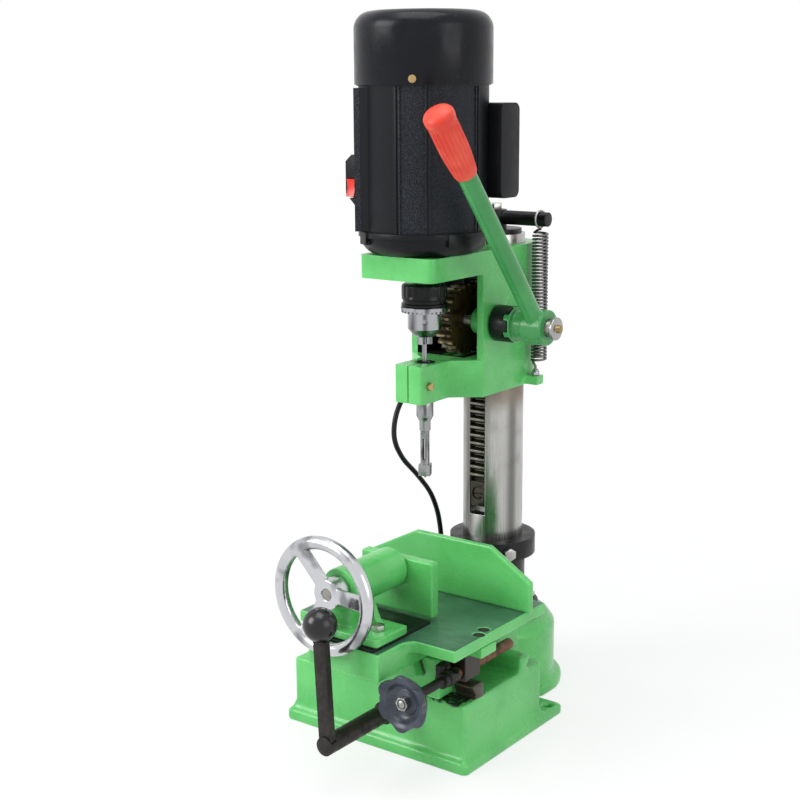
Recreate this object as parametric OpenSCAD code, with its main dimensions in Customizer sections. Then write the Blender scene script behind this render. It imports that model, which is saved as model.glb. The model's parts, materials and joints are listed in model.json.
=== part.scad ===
// Benchtop mortiser: a motor head that slides on a round column, a hollow chisel,
// and a cross-sliding table with a screw vise.
// Frame: X to the machine's right, Y to the back, Z up. The origin lies on the bench,
// straight below the chisel. All sizes are in millimetres.

/* [Column] */
// Distance from the chisel's axis to the column's axis
throat = 137; // [134:1:142]
// Outside radius of the column
col_r = 35; // [34:0.5:36]
// Radius of the bore down the column
col_bore_r = 16.5; // [12:0.5:17]
// How far the column stands above the head when the head is up
col_above = 10; // [6:1:14]
// Width of the slot for the rack
slot_w = 20.4; // [20:0.1:22]
// Height where the slot begins
slot_z = 214; // [205:1:220]

/* [Base] */
// Width of the base casting above its flange
base_w = 232; // [228:1:240]
// How far the base's front face lies ahead of the chisel
base_front = 93; // [88:1:96]
// How far the block's back lies behind the chisel
base_back = 60; // [58:1:64]
// Height of the base's deck
deck_z = 74; // [72:1:75]
// Thickness of the deck
deck_t = 13; // [10:1:15]
// Thickness of the side walls
base_wall = 9; // [7:1:12]
// Thickness of the foot flange
flange_t = 12; // [10:1:14]
// How far the flange stands out
flange_lip = 8; // [6:1:9]
// Radius of the round boss under the column
boss_r = 75; // [72:1:78]
// Height of that boss
boss_h = 88; // [86:1:90]
// Distance between the two bench bolts
bolt_spacing = 224; // [218:1:226]
// How far the bench bolts lie behind the chisel
bolt_y = 82; // [80:1:84]
// Radius of a bench bolt hole
bolt_hole_r = 5; // [4:0.25:6]
// Radius of the column sleeve's tube
sleeve_r = 38.5; // [38:0.5:40]
// Radius of the column sleeve's foot
sleeve_foot_r = 55; // [54:0.5:57]
// Radius of the collar on top of the sleeve
collar_r = 50.5; // [48:0.5:52]
// Height of the top of that collar
collar_top = 184; // [180:1:188]
// Height of the collar itself
collar_h = 22; // [18:1:26]

/* [Cross slide] */
// Height of the dovetail rails
rail_h = 16; // [14:1:17]
// Width of a rail's top
rail_w = 22; // [18:1:24]
// How far a rail's flank leans over
rail_lean = 10; // [6:1:12]
// Distance of the front rail's top edge ahead of the chisel
rail_front = 76; // [74:1:78]
// Distance of the rear rail's top edge behind the chisel
rail_back = 40; // [38:1:42]
// Sliding clearance
slide_gap = 0.3; // [0.2:0.05:0.35]
// Width of the saddle
saddle_w = 120; // [118:1:124]
// How far the saddle's middle lies to the right of the chisel
cross_x = 27; // [25:1:29]
// How far the saddle's front lies ahead of the chisel
saddle_front = 98; // [94:1:100]
// How far the saddle's back lies behind the chisel
saddle_back = 58; // [54:1:59]
// Depth of the table's dovetail
tail_h = 21; // [19:1:22]
// Width of the table's dovetail at its bottom
tail_w = 80; // [76:1:84]
// How far the dovetail's flank leans over
tail_lean = 8; // [6:1:9]
// Radius of the feed screw's thread
feed_r = 6; // [5.5:0.25:6.5]
// Radius of the feed screw's plain rod
feed_rod_r = 5; // [4.5:0.25:5.25]
// How far the feed screw lies outside the saddle
feed_offset = 13; // [12:0.5:14]
// Diameter of the feed knob
knob_d = 60; // [56:1:61]
// Thickness of the feed knob
knob_t = 18; // [15:1:20]

/* [Table] */
// Height of the table's top face
table_z = 150; // [149:0.5:152]
// Width of the table
table_w = 204; // [200:1:208]
// How far the table's front edge lies ahead of the chisel
table_front = 129; // [126:1:132]
// How far the table's back edge lies behind the chisel
table_back = 46; // [44:1:46]
// Thickness of the table's plate
table_t = 12.5; // [11:0.5:13.5]
// Width of the table's middle guide and front tongue
guide_w = 92; // [90:1:93]
// Depth of that guide, with the plate
guide_h = 29; // [28:0.5:30]
// How far the front tongue reaches ahead of the chisel
tongue_front = 182; // [178:1:182]
// Length of the fence
fence_w = 214; // [208:1:220]
// Height of the fence
fence_h = 66; // [62:1:68]
// Height of the fence's ends
fence_end_h = 34; // [30:1:38]
// Thickness of the fence
fence_t = 8; // [6:0.5:9]
// How far the fence's face lies behind the chisel
fence_y = 5; // [4:0.5:6]

/* [Vise] */
// How far the vise's screw lies to the right of the chisel
vise_x = 10; // [8:1:12]
// Height of the vise's screw
vise_z = 202; // [200:1:205]
// Radius of the vise's barrel
barrel_r = 22; // [20:0.5:24]
// How far the barrel's front end lies ahead of the chisel
barrel_front = 165; // [160:1:167]
// How far the jaw's clamping face lies ahead of the chisel
jaw_y = 62.5; // [62:0.5:66]
// Thickness of the jaw
jaw_t = 12; // [10:0.5:14]
// Width of the jaw
jaw_w = 94; // [88:1:98]
// Height of the jaw's top
jaw_top = 214; // [210:1:216]
// Radius of the sliding ram
ram_r = 12; // [10:0.5:14]
// Diameter of the handwheel
wheel_d = 126; // [120:1:128]
// How far the middle of the handwheel's rim lies ahead of the chisel
wheel_y = 190; // [189.5:0.5:191]
// Radius of the rim's section
rim_r = 7; // [5.5:0.25:7]

/* [Feed gear] */
// Module of the gears and racks
gear_m = 3; // [2.9:0.05:3.05]
// Teeth of the head's pinion
head_teeth = 24; // [24:1:24]
// Height of the head's pinion shaft
pinion_z = 450; // [448:1:452]
// Width of the head's pinion
pinion_w = 19; // [16:0.5:19]
// Radius of the head's pinion shaft
pinion_shaft_r = 9; // [8:0.5:9.5]
// Teeth of the crank's pinion
crank_teeth = 16; // [16:1:16]
// How far the crank shaft lies to the right of the chisel
crank_x = 34; // [32:1:36]
// How far the crank's arm lies ahead of the chisel
crank_y = 216.5; // [216:0.5:218]
// Length of the crank, from its shaft to the ball's middle
crank_len = 127; // [120:1:130]
// Lean of the crank's arm from upright
crank_lean = 3; // [0:0.5:5]
// Radius of the crank's rod
crank_rod_r = 10; // [9:0.5:11]
// Radius of the crank shaft in the base
crank_shaft_r = 8; // [7:0.5:8.5]
// Diameter of the crank's ball
ball_d = 35; // [32:0.5:36]

/* [Head] */
// Width of the head casting
head_w = 96; // [94:1:98]
// Height of the head's underside
head_z0 = 371; // [370:0.5:372]
// Height of the head's top face
head_z1 = 531; // [530:0.5:532]
// Thickness of the motor platform
platform_t = 25; // [22:1:26]
// How far the platform reaches ahead of the chisel
platform_front = 53; // [50:1:55]
// How far behind the chisel the side walls begin
wall_y = 42; // [40:1:44]
// Thickness of the side walls
wall_t = 8; // [7:0.5:9]
// Height of the chisel nose
nose_h = 41; // [38:1:41]
// Half the width of the chisel nose
nose_half = 18.5; // [17:0.5:20]
// How far the nose reaches ahead of the chisel
nose_front = 31; // [29:1:33]
// Width of the nose's clamping slit
slit_w = 1.6; // [1:0.1:2.5]

/* [Motor] */
// Radius of the motor's body over its ribs
motor_r = 69.5; // [68:0.5:70]
// Thickness of the motor's shell
shell_t = 4; // [3:0.5:5]
// Height of the motor's body without the end bell
body_h = 150; // [145:1:155]
// Height of the lower end bell
bell_h = 25; // [22:1:28]
// Radius of the fan cover
cover_r = 72.4; // [71.5:0.1:74]
// Height of the fan cover
cover_h = 74; // [70:1:78]
// Radius of the motor shaft
motor_shaft_r = 8; // [7:0.5:9]
// Distance between the two ribs of each pair on the motor
rib_spread = 4; // [3:0.5:6]

/* [Lever] */
// Plane of the lever, to the right of the chisel
lever_x = 101; // [100.5:0.5:102]
// Length of the lever, from its shaft to the grip's end
lever_len = 300; // [280:1:302]
// Lean of the lever from upright, towards the front
lever_lean = 39.3; // [36:0.1:42]
// Radius of the lever's tube
lever_r = 10; // [9:0.5:11]
// Radius of the lever's hub
hub_r = 19.5; // [18:0.5:21]
// Length of the lever's grip
grip_len = 80; // [76:1:88]
// Radius of the lever's grip
grip_r = 15; // [14:0.1:16]
// Travel of the clutch
clutch_travel = 7; // [6.5:0.25:7.5]

/* [Chisel] */
// Width of the square hollow chisel's cutting end
chisel_w = 12.7; // [8:0.1:14]
// Width of the chisel's relieved square body
chisel_body_w = 8.6; // [7:0.1:10]
// Height of the chisel's tip
chisel_tip_z = 285; // [280:1:290]
// Radius of the chisel's round shank
chisel_shank_r = 7.5; // [7:0.25:8]
// How far the chisel is turned about its axis
chisel_turn = 24; // [0:1:45]
// Radius of the auger bit
bit_r = 2.6; // [2:0.1:3]

/* [Return spring] */
// Mean radius of the return spring
spring_r = 8; // [7.5:0.1:8.5]
// Diameter of the spring's wire
spring_wire = 2.4; // [2:0.1:2.6]
// Number of the spring's curls
spring_curls = 38; // [34:1:40]

/* [Cord] */
// Diameter of the mains cord
cord_d = 6; // [5.5:0.1:6]
// Thickness of the tie round the coil
tie_t = 1.2; // [1:0.1:1.4]

/* [Hidden] */
$fn = 64;
fit_gap = 0.05;   // radial clearance of a shaft in its bore
seat_gap = 0.2;   // clearance of a piece in its seat
eps = 0.01;
GREEN = [0.27, 0.72, 0.33];
DARK_GREEN = [0.22, 0.36, 0.28];
BLACK = [0.08, 0.08, 0.09];
STEEL = [0.72, 0.72, 0.7];
CHROME = [0.85, 0.86, 0.88];
BRASS = [0.78, 0.66, 0.36];
RED = [0.82, 0.27, 0.16];

// Gears: pitch radius, pressure angle, play and tooth depths
press_angle = 20;
backlash = 0.25;
addendum = gear_m;
dedendum = 1.25 * gear_m;
rack_pitch = PI * gear_m;
head_pitch_r = gear_m * head_teeth / 2;
crank_pitch_r = gear_m * crank_teeth / 2;

// Column, rack and pinion of the head
rack_pitch_y = throat - col_r + 3.5;           // the rack's pitch plane
pinion_y = rack_pitch_y - head_pitch_r;        // the pinion shaft
rack_back_y = rack_pitch_y + dedendum + 7;
slot_y = rack_back_y + slide_gap;              // bottom of the slot
rack_half = slot_w / 2 - seat_gap;
stop_z = slot_z + 10;
rack_z0 = stop_z + 29;
col_top = head_z1 + col_above;
rack_z1 = col_top - 21;
arm_z = col_top + 4;
arm_h = 22;
arm_bar_r = 8;
arm_bar_z = arm_z + 13.5;
arm_under = arm_bar_z - arm_bar_r;             // underside of the arm's bar, where the spring hangs
arm_bolt_r = 5;
spring_x = 61;

// Cross slide
rail_top = deck_z + rail_h;
saddle_z0 = deck_z + 2;
saddle_roof = rail_top + seat_gap;
table_under = table_z - guide_h;               // underside of the table's guide
saddle_top = table_under - slide_gap;
tail_z0 = table_under - tail_h;
saddle_x0 = cross_x - saddle_w / 2;
saddle_x1 = cross_x + saddle_w / 2;
gib_t = 3;
feed_x = saddle_x1 + feed_offset;
feed_z = tail_z0 + 5;
bracket_y0 = -saddle_front - 6;
bracket_y1 = bracket_y0 + 16;
knob_y1 = -165;
knob_y0 = knob_y1 - knob_t;
nut_y0 = -82;
nut_y1 = -54;
nut_flange_z = table_z - table_t - 10.5;

// Crank and its rack under the saddle
crank_gear_y0 = -40;
crank_gear_y1 = -20;
crank_rack_z = saddle_roof - dedendum - 5.45;  // the rack's pitch plane
crank_z = crank_rack_z - crank_pitch_r;
crank_rack_add = 0.9 * gear_m;                 // cut short, as the pinion has few teeth
arm_w = 15;
arm_t = 8;
web_half = 6;                                  // half the thickness of the base's cross web

// Vise
jaw_y0 = -jaw_y - jaw_t;                       // back of the jaw plate
vise_bore_y = -barrel_front + 15;              // bottom of the barrel's bore
vise_screw_r = 6;
plate_t = 3;
foot_z = table_z + plate_t;
foot_x0 = vise_x - 29;
foot_x1 = vise_x + 56;
foot_y0 = -barrel_front - 11;
foot_y1 = -121.5;
vise_bolt_x = [foot_x0 + 8, foot_x1 - 17];
vise_bolt_y = -150.4;

// Head and motor
nose_z1 = head_z0 + nose_h;
window_z1 = head_z1 - platform_t;
col_wall_r = col_r + 13;
bush_r = pinion_shaft_r + 2.5;
boss_x0 = 22;
body_z = head_z1 + bell_h;
cover_z = body_z + body_h;
motor_top = cover_z + cover_h;
rib_h = 1.2;
stator_r = motor_r - rib_h - shell_t;
rotor_r = 32;
chuck_r = 25;
chuck_z1 = window_z1 - 8;
ring_z = head_z1 - 64;
chisel_head_r = 9.4;
chisel_bush_r = 12;

// Lever and clutch along the pinion shaft
clutch_r = 20;
clutch_x0 = head_w / 2 + 2;
clutch_x1 = clutch_x0 + 16;
tooth_len = 6;
dog_r = 14.3;
hub_x0 = clutch_x1 + tooth_len + 16;
hub_x1 = hub_x0 + 26;
washer_x = hub_x1 + clutch_travel + 0.2;
shaft_left = -head_w / 2 - 14;

// Mains cord
cord_r = cord_d / 2;
cord_lie = cord_r + tie_t;                     // height of a cord that lies on the bench
gland_r = 78;                                  // distance of the gland from the motor's axis
gland_z = body_z - 4;
gland_xy = gland_r * cos(45);

// ---------------------------------------------------------------- small helpers

// A box given by its two corners
module block(x0, x1, y0, y1, z0, z1)
  translate([x0, y0, z0]) cube([x1 - x0, y1 - y0, z1 - z0]);

// A cylinder along X from x0 to x1
module rod_x(x0, x1, y, z, r, fn = 64)
  translate([x0, y, z]) rotate([0, 90, 0]) cylinder(r = r, h = x1 - x0, $fn = fn);

// A cylinder along Y from y0 to y1
module rod_y(x, y0, y1, z, r, fn = 64)
  translate([x, y1, z]) rotate([90, 0, 0]) cylinder(r = r, h = y1 - y0, $fn = fn);

// An upright tube
module tube(r, bore, z0, z1)
  translate([0, 0, z0]) difference() {
    cylinder(r = r, h = z1 - z0);
    translate([0, 0, -1]) cylinder(r = bore, h = z1 - z0 + 2);
  }

// An outline in X and Z, pushed along Y from y0 to y1
module prism_y(y0, y1) translate([0, y1, 0]) rotate([90, 0, 0]) linear_extrude(y1 - y0) children();

// An outline in Y and Z, pushed along X from x0 to x1
module prism_x(x0, x1) translate([x0, 0, 0]) rotate([90, 0, 90]) linear_extrude(x1 - x0) children();

// A rectangle with rounded corners
module rounded(x0, x1, y0, y1, r) {
  translate([x0 + r, y0]) square([x1 - x0 - 2 * r, y1 - y0]);
  translate([x0, y0 + r]) square([x1 - x0, y1 - y0 - 2 * r]);
  for (x = [x0 + r, x1 - r], y = [y0 + r, y1 - r]) translate([x, y]) circle(r = r);
}

// A hexagon bolt that stands on z = 0, with its shank below
module hex_bolt(af, head_h, r, len) {
  cylinder(d = af / cos(30), h = head_h, $fn = 6);
  translate([0, 0, -len]) cylinder(r = r, h = len + head_h / 2);
}

// A round-headed screw with a slot, standing on z = 0
module pan_screw(head_r, head_h, r, len) difference() {
  union() {
    cylinder(r = head_r, h = head_h);
    translate([0, 0, -len]) cylinder(r = r, h = len + head_h / 2);
  }
  block(-head_r - 1, head_r + 1, -0.6, 0.6, head_h / 2, head_h + 1);
}

// ---------------------------------------------------------------- gear teeth

// Angle between a tooth's middle and its flank, at radius q
function involute_angle(a) = tan(a) * 180 / PI - a;
function half_angle(pitch, teeth, q) =
  let (base = pitch * cos(press_angle), a = q > base ? acos(base / q) : 0)
  90 / teeth - backlash / 2 / pitch * 90 / PI + involute_angle(press_angle) - involute_angle(a);

// The outline of a pinion whose first gap lies at angle start
module pinion_outline(teeth, start) {
  pitch = gear_m * teeth / 2;
  radii = [for (i = [0:3]) let (base = pitch * cos(press_angle)) base + (pitch + addendum - base) * i / 3];
  root = pitch - dedendum;
  polygon([for (i = [0:teeth - 1]) let (mid = start + (i + 0.5) * 360 / teeth) each concat(
    [let (a = mid - half_angle(pitch, teeth, 0)) root * [cos(a), sin(a)]],
    [for (q = radii) let (a = mid - half_angle(pitch, teeth, q)) q * [cos(a), sin(a)]],
    [for (k = [3:-1:0]) let (q = radii[k], a = mid + half_angle(pitch, teeth, q)) q * [cos(a), sin(a)]],
    [let (a = mid + half_angle(pitch, teeth, 0)) root * [cos(a), sin(a)]]
  )]);
}

// The outline of a rack along u, with teeth towards -v; one tooth is centred at u = phase
module rack_outline(u0, u1, pitch_v, back_v, phase, tip) {
  lean = tan(press_angle);
  half = rack_pitch / 4 - backlash / 4;
  first = ceil((u0 + half + dedendum - phase) / rack_pitch);
  last = floor((u1 - half - dedendum - phase) / rack_pitch);
  root = pitch_v + dedendum;
  polygon(concat(
    [[u0, back_v], [u0, root]],
    [for (i = [first:last]) let (c = phase + i * rack_pitch) each [
      [c - half - dedendum * lean, root], [c - half + tip * lean, pitch_v - tip],
      [c + half - tip * lean, pitch_v - tip], [c + half + dedendum * lean, root]]],
    [[u1, root], [u1, back_v]]
  ));
}

// ---------------------------------------------------------------- tubes along a path

// Sum, length and smooth curve through points
function path_length(p) = sum([for (i = [1:len(p) - 1]) norm(p[i] - p[i - 1])]);
function sum(v, i = 0) = i < len(v) ? v[i] + sum(v, i + 1) : 0;
function spline_point(a, b, c, d, t) =
  0.5 * ((2 * b) + (c - a) * t + (2 * a - 5 * b + 4 * c - d) * t * t + (3 * b - a - 3 * c + d) * t * t * t);
function smooth(p, steps) = concat(
  [for (i = [0:len(p) - 2]) let (a = p[max(i - 1, 0)], d = p[min(i + 2, len(p) - 1)])
    for (k = [0:steps - 1]) spline_point(a, p[i], p[i + 1], d, k / steps)],
  [p[len(p) - 1]]);
function unit(v) = v / norm(v);
function heading(p, i) = unit(p[min(i + 1, len(p) - 1)] - p[max(i - 1, 0)]);

// One closed tube of the given sides along points p; side is a direction that is never along the path
module path_tube(p, r, sides, side) {
  rings = len(p);
  points = [for (i = [0:rings - 1])
    let (h = heading(p, i), u = unit(cross(h, side)), v = cross(u, h))
    for (k = [0:sides - 1]) p[i] + r * (cos(360 * k / sides) * u + sin(360 * k / sides) * v)];
  walls = [for (i = [0:rings - 2], k = [0:sides - 1])
    let (a = i * sides + k, b = i * sides + (k + 1) % sides) each [[a, b, b + sides], [a, b + sides, a + sides]]];
  caps = [for (k = [1:sides - 2]) each [[0, k + 1, k], [0, k, k + 1] + (rings - 1) * sides * [1, 1, 1]]];
  polyhedron(points, concat(walls, caps), convexity = 10);
}

// ---------------------------------------------------------------- base and column

// The Y of a rail's flank at height z
function front_flank(z) = -rail_front + rail_lean * (rail_top - z) / rail_h;
function back_flank(z) = rail_back - rail_lean * (rail_top - z) / rail_h;

module rails() prism_x(-base_w / 2, base_w / 2) {
  polygon([[front_flank(deck_z - 1), deck_z - 1], [-rail_front, rail_top],
           [-rail_front + rail_w, rail_top], [-rail_front + rail_w, deck_z - 1]]);
  polygon([[back_flank(deck_z - 1), deck_z - 1], [rail_back, rail_top],
           [rail_back - rail_w, rail_top], [rail_back - rail_w, deck_z - 1]]);
}

sleeve_bolt_r = 4;
sleeve_bolt_pcd = (sleeve_r + sleeve_foot_r) / 2 - 0.5;

module at_sleeve_bolts() for (a = [45:90:315])
  translate([sleeve_bolt_pcd * cos(a), throat + sleeve_bolt_pcd * sin(a), 0]) children();

module base_casting() color(GREEN) difference() {
  union() {
    block(-base_w / 2, base_w / 2, -base_front, base_back, 0, deck_z);
    linear_extrude(flange_t) rounded(-base_w / 2 - flange_lip, base_w / 2 + flange_lip,
      -base_front - flange_lip, bolt_y + 15, 6);
    translate([0, throat, 0]) {
      cylinder(r = boss_r + flange_lip + 1, h = flange_t);
      cylinder(r = boss_r, h = boss_h - 12);
      translate([0, 0, boss_h - 12]) cylinder(r1 = boss_r, r2 = boss_r - 9, h = 12);
    }
    rails();
  }
  // hollow from below, in two rooms parted by the cross web
  block(-base_w / 2 + base_wall, base_w / 2 - base_wall, -base_front + base_wall, -web_half, -1, deck_z - deck_t);
  block(-base_w / 2 + base_wall, base_w / 2 - base_wall, web_half, base_back - base_wall, -1, deck_z - deck_t);
  translate([0, throat, -1]) cylinder(r = boss_r - 14, h = 52);
  // room for the crank's pinion
  block(crank_x - crank_pitch_r - 7, crank_x + crank_pitch_r + 7, crank_gear_y0 - 3, crank_gear_y1 + 3,
    deck_z - deck_t - 1, deck_z + 1);
  rod_y(crank_x, -base_front - 1, web_half + 1, crank_z, crank_shaft_r + fit_gap);
  for (s = [-1, 1]) translate([s * bolt_spacing / 2, bolt_y, -1]) cylinder(r = bolt_hole_r, h = flange_t + 2);
  at_sleeve_bolts() translate([0, 0, boss_h - 20]) cylinder(r = sleeve_bolt_r + fit_gap, h = 21);
}

clamp_angle = -35;
clamp_z = collar_top - 12;

module at_clamp_bolt()
  translate([0, throat, clamp_z]) rotate([0, 0, clamp_angle]) translate([collar_r, 0, 0]) rotate([0, 90, 0]) children();

module column_sleeve() color(BLACK) difference() {
  translate([0, throat, 0]) {
    translate([0, 0, boss_h]) cylinder(r = sleeve_foot_r, h = 12);
    translate([0, 0, boss_h]) cylinder(r = sleeve_r, h = collar_top - boss_h);
    translate([0, 0, collar_top - collar_h]) cylinder(r = collar_r, h = collar_h);
  }
  translate([0, throat, boss_h + 4]) cylinder(r = col_r + fit_gap, h = collar_top);
  at_sleeve_bolts() translate([0, 0, boss_h - 1]) cylinder(r = sleeve_bolt_r + seat_gap, h = 14);
  at_clamp_bolt() translate([0, 0, -collar_r + col_r - 1]) cylinder(r = sleeve_bolt_r + fit_gap, h = collar_r - col_r + 2);
}

module frame_bolts() color(STEEL) {
  at_sleeve_bolts() translate([0, 0, boss_h + 12]) hex_bolt(12, 5.5, sleeve_bolt_r, 28);
  at_clamp_bolt() translate([0, 0, seat_gap]) hex_bolt(13.5, 6, sleeve_bolt_r, collar_r - col_r - 0.5);
  translate([0, throat, arm_z + arm_h]) hex_bolt(16, 7, arm_bolt_r, arm_h + 15);
}

module column() color(STEEL) difference() {
  translate([0, throat, boss_h + 4]) cylinder(r = col_r, h = col_top - boss_h - 4);
  translate([0, throat, boss_h]) cylinder(r = col_bore_r, h = col_top);
  block(-slot_w / 2, slot_w / 2, throat - col_r - 1, slot_y, slot_z, col_top + 1);
}

module column_rack() color(STEEL)
  prism_x(-rack_half, rack_half) rotate(90) mirror([0, 1])
    rack_outline(rack_z0, rack_z1, rack_pitch_y, rack_back_y, pinion_z, addendum);

module rack_stop() color(STEEL) {
  face_y = throat - col_r + 2.5;
  mid_z = (stop_z + rack_z0) / 2;
  difference() {
    block(-rack_half, rack_half, face_y, rack_back_y, stop_z, rack_z0);
    rod_y(0, face_y - 1, rack_back_y + 1, mid_z, 4 + seat_gap);
    rod_y(0, face_y - 1, face_y + 5, mid_z, 7 + seat_gap);
  }
  translate([0, face_y + 5, mid_z]) rotate([90, 0, 0]) pan_screw(7, 4, 4, rack_back_y - face_y - 5);
}

module spring_arm() color(BLACK) difference() {
  translate([0, throat, 0]) {
    translate([0, 0, arm_z]) cylinder(r = 14, h = arm_h);
    rod_x(0, spring_x + 10, 0, arm_bar_z, arm_bar_r);
    translate([0, 0, col_top]) cylinder(r = col_r - 4, h = arm_z - col_top + 1);
    translate([0, 0, col_top - 16]) cylinder(r = col_bore_r - fit_gap, h = 18);
  }
  translate([0, throat, col_top - 17]) cylinder(r = arm_bolt_r + fit_gap, h = arm_h + 30);
}

// ---------------------------------------------------------------- return spring

// The wire: straight up from the stud, round the curls, and straight up to the arm
spring_z0 = head_z0 + 28;
spring_z1 = arm_under - 7;
stud_x = 57;
stud_top = head_z0 + 17.5;
spring_steps = 8;
spring_turns = [for (i = [0:spring_curls * spring_steps])
  let (a = 180 + 360 * i / spring_steps, z = spring_z0 + (spring_z1 - spring_z0) * i / (spring_curls * spring_steps))
  [spring_x + spring_r * cos(a), throat + spring_r * sin(a), z]];
spring_path = concat(
  [[stud_x, throat, stud_top + slide_gap], [stud_x, throat, stud_top + slide_gap + spring_wire],
   [spring_x - spring_r + 1, throat - 0.5, spring_z0 - 3]],
  spring_turns,
  [[spring_x - spring_r / 2, throat + 1, spring_z1 + 3], [spring_x, throat, arm_under - slide_gap - spring_wire],
   [spring_x, throat, arm_under - slide_gap]]);
spring_pitch = (spring_z1 - spring_z0) / spring_curls;

// Least gap between curls, measured on the path's points that lie more than half a curl apart
function least(v, i = 0, best = 1e9) = i < len(v) ? least(v, i + 1, min(best, v[i])) : best;
function self_gap(p, skip, d) = least([for (i = [0:len(p) - 1 - skip])
  least([for (j = [i + skip:min(i + 4 * skip, len(p) - 1)]) norm(p[i] - p[j])])]) - d;
echo(spring_self_gap = self_gap(spring_path, spring_steps / 2 + 1, spring_wire));

module return_spring() color(STEEL) path_tube(spring_path, spring_wire / 2, 6, [0.02, 0.015, 1]);

// ---------------------------------------------------------------- mains cord

// The free stretch, from the gland to the coil
cord_route = [
  [-gland_xy, gland_xy, gland_z], [-gland_xy, gland_xy, gland_z - 2.5], [-gland_xy, gland_xy, gland_z - 6],
  [-56, 61, 524], [-57, 77, 496],
  [-58, 91, 462], [-59, 92, 425], [-58.5, 72, 392], [-58, 45, 366],
  [-58, 25, 341], [-58, 21, 314], [-58, 36, 288], [-58, 64, 262],
  [-58, 89, 236], [-58, 103, 212], [-58, 110, 190], [-59, 115, 164],
  [-64, 121, 136], [-76, 130, 104], [-90, 146, 70], [-101, 168, 36],
  [-106, 196, 13], [-107, 222, cord_lie], [-107, 242, cord_lie], [-107, 256, cord_lie]
];
cord_free = smooth(cord_route, 3);

// The coil: two layers of loops that spiral in and out again, clockwise from above
coil_pitch = cord_d + 0.5;
layer_loops = 2.5;
loop_steps = 24;
coil_outer = 41;
coil_x = cord_route[len(cord_route) - 1].x + coil_outer;
coil_y = cord_route[len(cord_route) - 1].y;
coil_inner = coil_outer - coil_pitch * layer_loops;
function coil_radius(t) = t < layer_loops ? coil_outer - coil_pitch * t : coil_inner + coil_pitch * (t - layer_loops);
function coil_height(t) = cord_lie + coil_pitch * max(0, min(1, (t - layer_loops + 0.25) / 0.5));
tail_len = 14;
coil_path = concat(
  [for (i = [0:2 * layer_loops * loop_steps]) let (t = i / loop_steps, a = 180 - 360 * t)
    [coil_x + coil_radius(t) * cos(a), coil_y + coil_radius(t) * sin(a), coil_height(t)]],
  [for (s = [0.5, 1]) [coil_x - coil_outer, coil_y + tail_len * s, cord_lie + coil_pitch]]);
echo(coil_self_gap = self_gap(coil_path, loop_steps / 2 + 1, cord_d));
echo(cord_length = path_length(cord_free) + path_length(coil_path));

module mains_cord() color(BLACK) path_tube(cord_free, cord_r, 8, [1, 0.01, 0.02]);

module cord_coil() color(BLACK) path_tube(coil_path, cord_r, 6, [0.01, 0.02, 1]);

module cord_tie() color(BLACK) {
  x0 = coil_x + coil_inner - cord_r - 1.5;
  x1 = coil_x + coil_outer + cord_r + 1;
  z1 = cord_lie + coil_pitch + cord_r + 0.5;
  difference() {
    block(x0 - tie_t, x1 + tie_t, coil_y - 4, coil_y + 4, 0, z1 + tie_t);
    block(x0, x1, coil_y - 5, coil_y + 5, tie_t - seat_gap, z1);
  }
}

module mains_plug() color(BLACK) {
  plug_y = coil_y + tail_len;
  plug_z = cord_lie + coil_pitch;
  translate([coil_x - coil_outer, plug_y, plug_z]) {
    rotate([-90, 0, 0]) cylinder(r1 = cord_r + 1.2, r2 = cord_r + 3, h = 20);
    translate([-13, 20 - eps, -plug_z]) cube([26, 24, 2 * plug_z]);
    for (s = [-1, 1]) translate([s * 6.5 - 3.2, 44 - 2 * eps, -0.8]) cube([6.4, 17, 1.6]);
  }
}

// ---------------------------------------------------------------- saddle

function tail_half(z) = tail_w / 2 - tail_lean * (z - tail_z0) / tail_h;

module saddle_casting() color(GREEN) difference() {
  block(saddle_x0, saddle_x1, -saddle_front, saddle_back, saddle_z0, saddle_top);
  // the groove that rides on the base's rails
  prism_x(saddle_x0 - 1, saddle_x1 + 1) polygon([
    [front_flank(saddle_z0 - 1) - slide_gap, saddle_z0 - 1], [front_flank(saddle_roof) - slide_gap, saddle_roof],
    [back_flank(saddle_roof) + slide_gap, saddle_roof], [back_flank(saddle_z0 - 1) + slide_gap, saddle_z0 - 1]]);
  // the groove for the table's dovetail and its gib
  prism_y(-saddle_front - 1, saddle_back + 1) polygon([
    [cross_x - tail_half(tail_z0) - slide_gap, tail_z0 - slide_gap],
    [cross_x - tail_half(saddle_top + 1) - slide_gap, saddle_top + 1],
    [cross_x + tail_half(saddle_top + 1) + 2 * slide_gap + gib_t, saddle_top + 1],
    [cross_x + tail_half(tail_z0) + 2 * slide_gap + gib_t, tail_z0 - slide_gap]]);
  at_bracket_screws() rod_x(-12, 1, 0, 0, 2.5 + fit_gap);
}

module saddle_gib() color(STEEL)
  prism_y(-saddle_front + 1, saddle_back - 1) polygon([
    [cross_x + tail_half(tail_z0) + slide_gap, tail_z0], [cross_x + tail_half(saddle_top) + slide_gap, saddle_top],
    [cross_x + tail_half(saddle_top) + slide_gap + gib_t, saddle_top],
    [cross_x + tail_half(tail_z0) + slide_gap + gib_t, tail_z0]]);

module saddle_rack() color(STEEL)
  prism_y(crank_gear_y0, crank_gear_y1)
    rack_outline(saddle_x0 + 9, saddle_x1 - 1, crank_rack_z, saddle_roof, crank_x, crank_rack_add);

module at_bracket_screws() for (z = [feed_z - 8, feed_z + 9.5])
  translate([saddle_x1, (bracket_y0 + bracket_y1) / 2 + 3, z]) children();

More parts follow.
